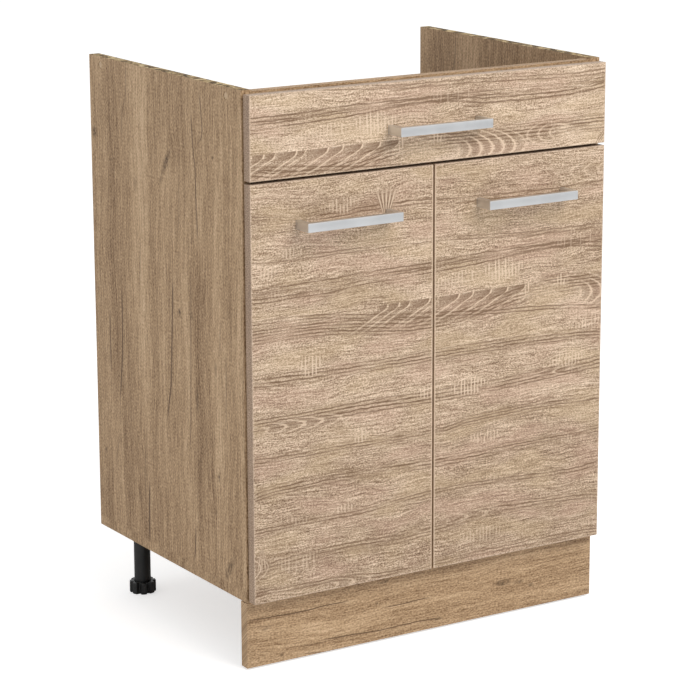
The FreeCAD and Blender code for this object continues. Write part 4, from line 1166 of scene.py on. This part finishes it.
def foot_profile():
    """Outline from the underside's middle, up the rim, down the well and up the stem."""
    rounding = 0.0015
    profile = [(AXIS, 0.0), (0.009, 0.0), (NOTCH_INNER_RADIUS, 0.0)]
    profile += arc((FOOT_RADIUS - rounding, rounding), rounding, -90, 0, 6)
    profile += [(FOOT_RADIUS, 0.005), (FOOT_RADIUS, 0.009), (FOOT_RADIUS, 0.013)]
    profile += arc((FOOT_RADIUS - rounding, FOOT_HEIGHT - rounding), rounding, 0, 90, 6)
    profile += [(0.0142, FOOT_HEIGHT), (0.0136, FOOT_HEIGHT - 0.0001)]
    profile += [(FOOT_WELL_RADIUS, FOOT_HEIGHT - 0.0006), (FOOT_WELL_RADIUS, FOOT_WELL_FLOOR)]
    profile += [(STEM_RADIUS, FOOT_WELL_FLOOR)]
    turns = np.arange(FOOT_WELL_FLOOR + 0.0005, STEM_TOP - 0.0009, THREAD_PITCH / 8)
    profile += [(STEM_RADIUS, height) for height in turns]
    profile += [(STEM_RADIUS - 0.0006, STEM_TOP - 0.0004), (STEM_RADIUS - 0.0012, STEM_TOP)]
    profile += [(AXIS, STEM_TOP)]
    return profile


LEGS = ("front_left", "front_right", "rear_left", "rear_right")
foot_grid = turned(foot_profile(), 96, foot_bulge)
leg_middles = {}
for leg in LEGS:
    low, high = corners_of(leg + "_leg_foot")
    leg_middles[leg] = (low + high) / 2 * np.array([1.0, 1.0, 0.0])
    foot = grid_surface(leg + "_lobed_foot", [foot_grid + leg_middles[leg]], black, 30.0)
    finish_piece(foot, leg + "_foot", "black_plastic", leg + "_leg_foot")

# %% [markdown]
# The tube above it is turned too: a flange that is screwed under the bottom panel, a hollow
# tube and a soft fillet between them, which keeps the moulding from cracking there.

# %% Leg tubes
FLANGE_RADIUS = 0.027
FLANGE_LOW = 0.095
CARCASS_LOW = 0.100
TUBE_RADIUS = 0.0125
TUBE_LOW = 0.017
BORE_RADIUS = 0.0083
BORE_TOP = 0.085


def tube_profile():
    """Outline down the bore, round the tube's mouth, up the outside and over the flange."""
    profile = [(AXIS, BORE_TOP), (BORE_RADIUS, BORE_TOP), (BORE_RADIUS, TUBE_LOW + 0.0006)]
    profile += [(BORE_RADIUS + 0.0006, TUBE_LOW)]
    profile += arc((TUBE_RADIUS - 0.0008, TUBE_LOW + 0.0008), 0.0008, -90, 0, 5)
    profile += [(TUBE_RADIUS, height) for height in np.linspace(0.022, 0.088, 12)]
    profile += arc((TUBE_RADIUS + 0.003, FLANGE_LOW - 0.003), 0.003, 180, 90, 6)
    profile += arc((FLANGE_RADIUS - 0.001, FLANGE_LOW + 0.001), 0.001, -90, 0, 5)
    profile += [(FLANGE_RADIUS, CARCASS_LOW), (AXIS, CARCASS_LOW)]
    return profile


tube_grid = turned(tube_profile(), 64)
for leg in LEGS:
    tube = grid_surface(leg + "_turned_tube", [tube_grid + leg_middles[leg]], black, 30.0)
    finish_piece(tube, "carcass", "black_plastic", leg + "_leg_tube")

# %% [markdown]
# Two caps on each side close the fitting holes. A cap is a shallow dome with a soft rim. It
# lies on its side, so the turned shape is laid over: its height becomes the way out of the
# panel. The door bumpers are the same shape, softer and smaller, laid towards the carcass.


# %% Cover caps and bumpers
def laid(grid, outward, middle):
    """A turned grid with its upright axis laid along an outward direction, at a middle."""
    outward = np.array(outward, dtype=float)
    side = np.cross((0.0, 0.0, 1.0), outward)
    up = np.cross(outward, side)
    return grid[..., :1] * side + grid[..., 1:2] * up + grid[..., 2:] * outward + np.array(middle)


def dome_profile(radius, height, rim, foot_radius, foot_depth):
    """Stem below nought, and a dome that rises from the rim to its height in the middle."""
    share = np.linspace(1.0, 0.02, 12)
    profile = [(AXIS, -foot_depth), (foot_radius, -foot_depth), (foot_radius, 0.0), (radius, 0.0)]
    profile += [(radius * s, rim + (height - rim) * math.sqrt(1 - s**4)) for s in share]
    return profile


CAP_RADIUS, CAP_HEIGHT, CAP_RIM, CAP_STEM_RADIUS, CAP_STEM = 0.005, 0.001, 0.0004, 0.0039, 0.008
cap_grid = turned(dome_profile(CAP_RADIUS, CAP_HEIGHT, CAP_RIM, CAP_STEM_RADIUS, CAP_STEM), 40)
low, high = corners_of("cover_caps")
cap_shapes = []
for side in (-1, 1):
    for y in (low[1] + CAP_RADIUS, high[1] - CAP_RADIUS):
        seat = (side * (high[0] - CAP_HEIGHT), y, high[2] - CAP_RADIUS)
        cap_shapes.append(laid(cap_grid, (side, 0, 0), seat))
caps = grid_surface("domed_caps", cap_shapes, brown, 40.0)
finish_piece(caps, "carcass", "brown_plastic", "cover_caps")

BUMPER_RIM, BUMPER_FOOT = 0.0003, 0.00001
for side_name in ("left", "right"):
    low, high = corners_of(side_name + "_door_bumpers")
    middle_x = (low[0] + high[0]) / 2
    radius = (high[0] - low[0]) / 2
    dome = dome_profile(radius, high[1] - low[1], BUMPER_RIM, radius * 0.97, BUMPER_FOOT)
    bumper_grid = turned(dome, 32)
    bumper_shapes = [laid(bumper_grid, (0, 1, 0), (middle_x, low[1] + BUMPER_FOOT, z))
                     for z in (low[2] + radius, high[2] - radius)]
    bumpers = grid_surface(side_name + "_domed_bumpers", bumper_shapes, rubber, 40.0)
    finish_piece(bumpers, side_name + "_door", "clear_rubber", side_name + "_door_bumpers")

# %% [markdown]
# Light. A white sky lights every side alike, which is how a packshot tent works. A large soft
# lamp in front makes the fronts a little brighter than the side. A small one on the left gives
# the side its tone, and stands low, so that it doesn't shine over the left panel on to the
# inside of the right one. Many lamps would give harder shadows and bright spots. The sky and
# the floor are seen as plain white, and the floor keeps the shadow.

# %% Light and floor
world = bpy.data.worlds.new("studio")
bpy.context.scene.world = world
world.use_nodes = True
world_tree = world.node_tree
background = world_tree.nodes["Background"]
rays = world_tree.nodes.new("ShaderNodeLightPath")
seen = Field(world_tree, rays.outputs["Is Camera Ray"])
seen = seen.larger(Field(world_tree, rays.outputs["Is Glossy Ray"]))
seen = seen.larger(Field(world_tree, rays.outputs["Is Transmission Ray"]))
SKY_LIGHT = 0.60
strength = seen * (1.0 - SKY_LIGHT) + SKY_LIGHT
world_tree.links.new(strength.socket, background.inputs["Strength"])
background.inputs["Color"].default_value = (1.0, 1.0, 1.0, 1.0)


def soft_lamp(name, location, aim, size, power):
    """Square area lamp that looks at a point."""
    data = bpy.data.lights.new(name, "AREA")
    data.shape = "SQUARE"
    data.size = size
    data.energy = power
    lamp = bpy.data.objects.new(name, data)
    lamp.location = location
    direction = np.array(aim) - np.array(location)
    yaw = math.atan2(direction[1], direction[0]) - math.pi / 2
    pitch = math.atan2(direction[2], math.hypot(direction[0], direction[1])) + math.pi / 2
    lamp.rotation_euler = (pitch, 0.0, yaw)
    bpy.context.scene.collection.objects.link(lamp)
    return lamp


# name: place, point it looks at, size in metres, watts
LAMPS = {
    "front_lamp": ((0.6, -2.4, 2.6), (0.0, 0.0, 0.45), 2.0, 62.0),
    "left_lamp": ((-3.4, 0.2, 0.62), (-0.3, 0.0, 0.50), 0.9, 10.5),
}
for lamp_name, (location, aim, size, power) in LAMPS.items():
    soft_lamp(lamp_name, location, aim, size, power).visible_glossy = False

FLOOR_GREY = 0.80
FLOOR_GLOW = 0.58  # lifts the floor to white for the camera alone, so its shadow stays pale
FLOOR_REACH = 12.0
floor_material, floor_tree, floor_shader = new_material("floor", 0.9)
floor_shader.inputs["Base Color"].default_value = (FLOOR_GREY, FLOOR_GREY, FLOOR_GREY, 1.0)
floor_rays = floor_tree.nodes.new("ShaderNodeLightPath")
floor_seen = Field(floor_tree, floor_rays.outputs["Is Camera Ray"])
floor_shader.inputs["Emission Color"].default_value = (1.0, 1.0, 1.0, 1.0)
floor_tree.links.new((floor_seen * FLOOR_GLOW).socket, floor_shader.inputs["Emission Strength"])
floor_mesh = bpy.data.meshes.new("floor")
floor_corners = np.array([(-1, -1, 0), (1, -1, 0), (1, 1, 0), (-1, 1, 0)]) * FLOOR_REACH
floor_mesh.from_pydata(floor_corners.tolist(), [], [(0, 1, 2, 3)])
floor_mesh.materials.append(floor_material)
floor = bpy.data.objects.new("floor", floor_mesh)
bpy.context.scene.collection.objects.link(floor)
print("sky", SKY_LIGHT, "lamps", [lamp[3] for lamp in LAMPS.values()], "watts")
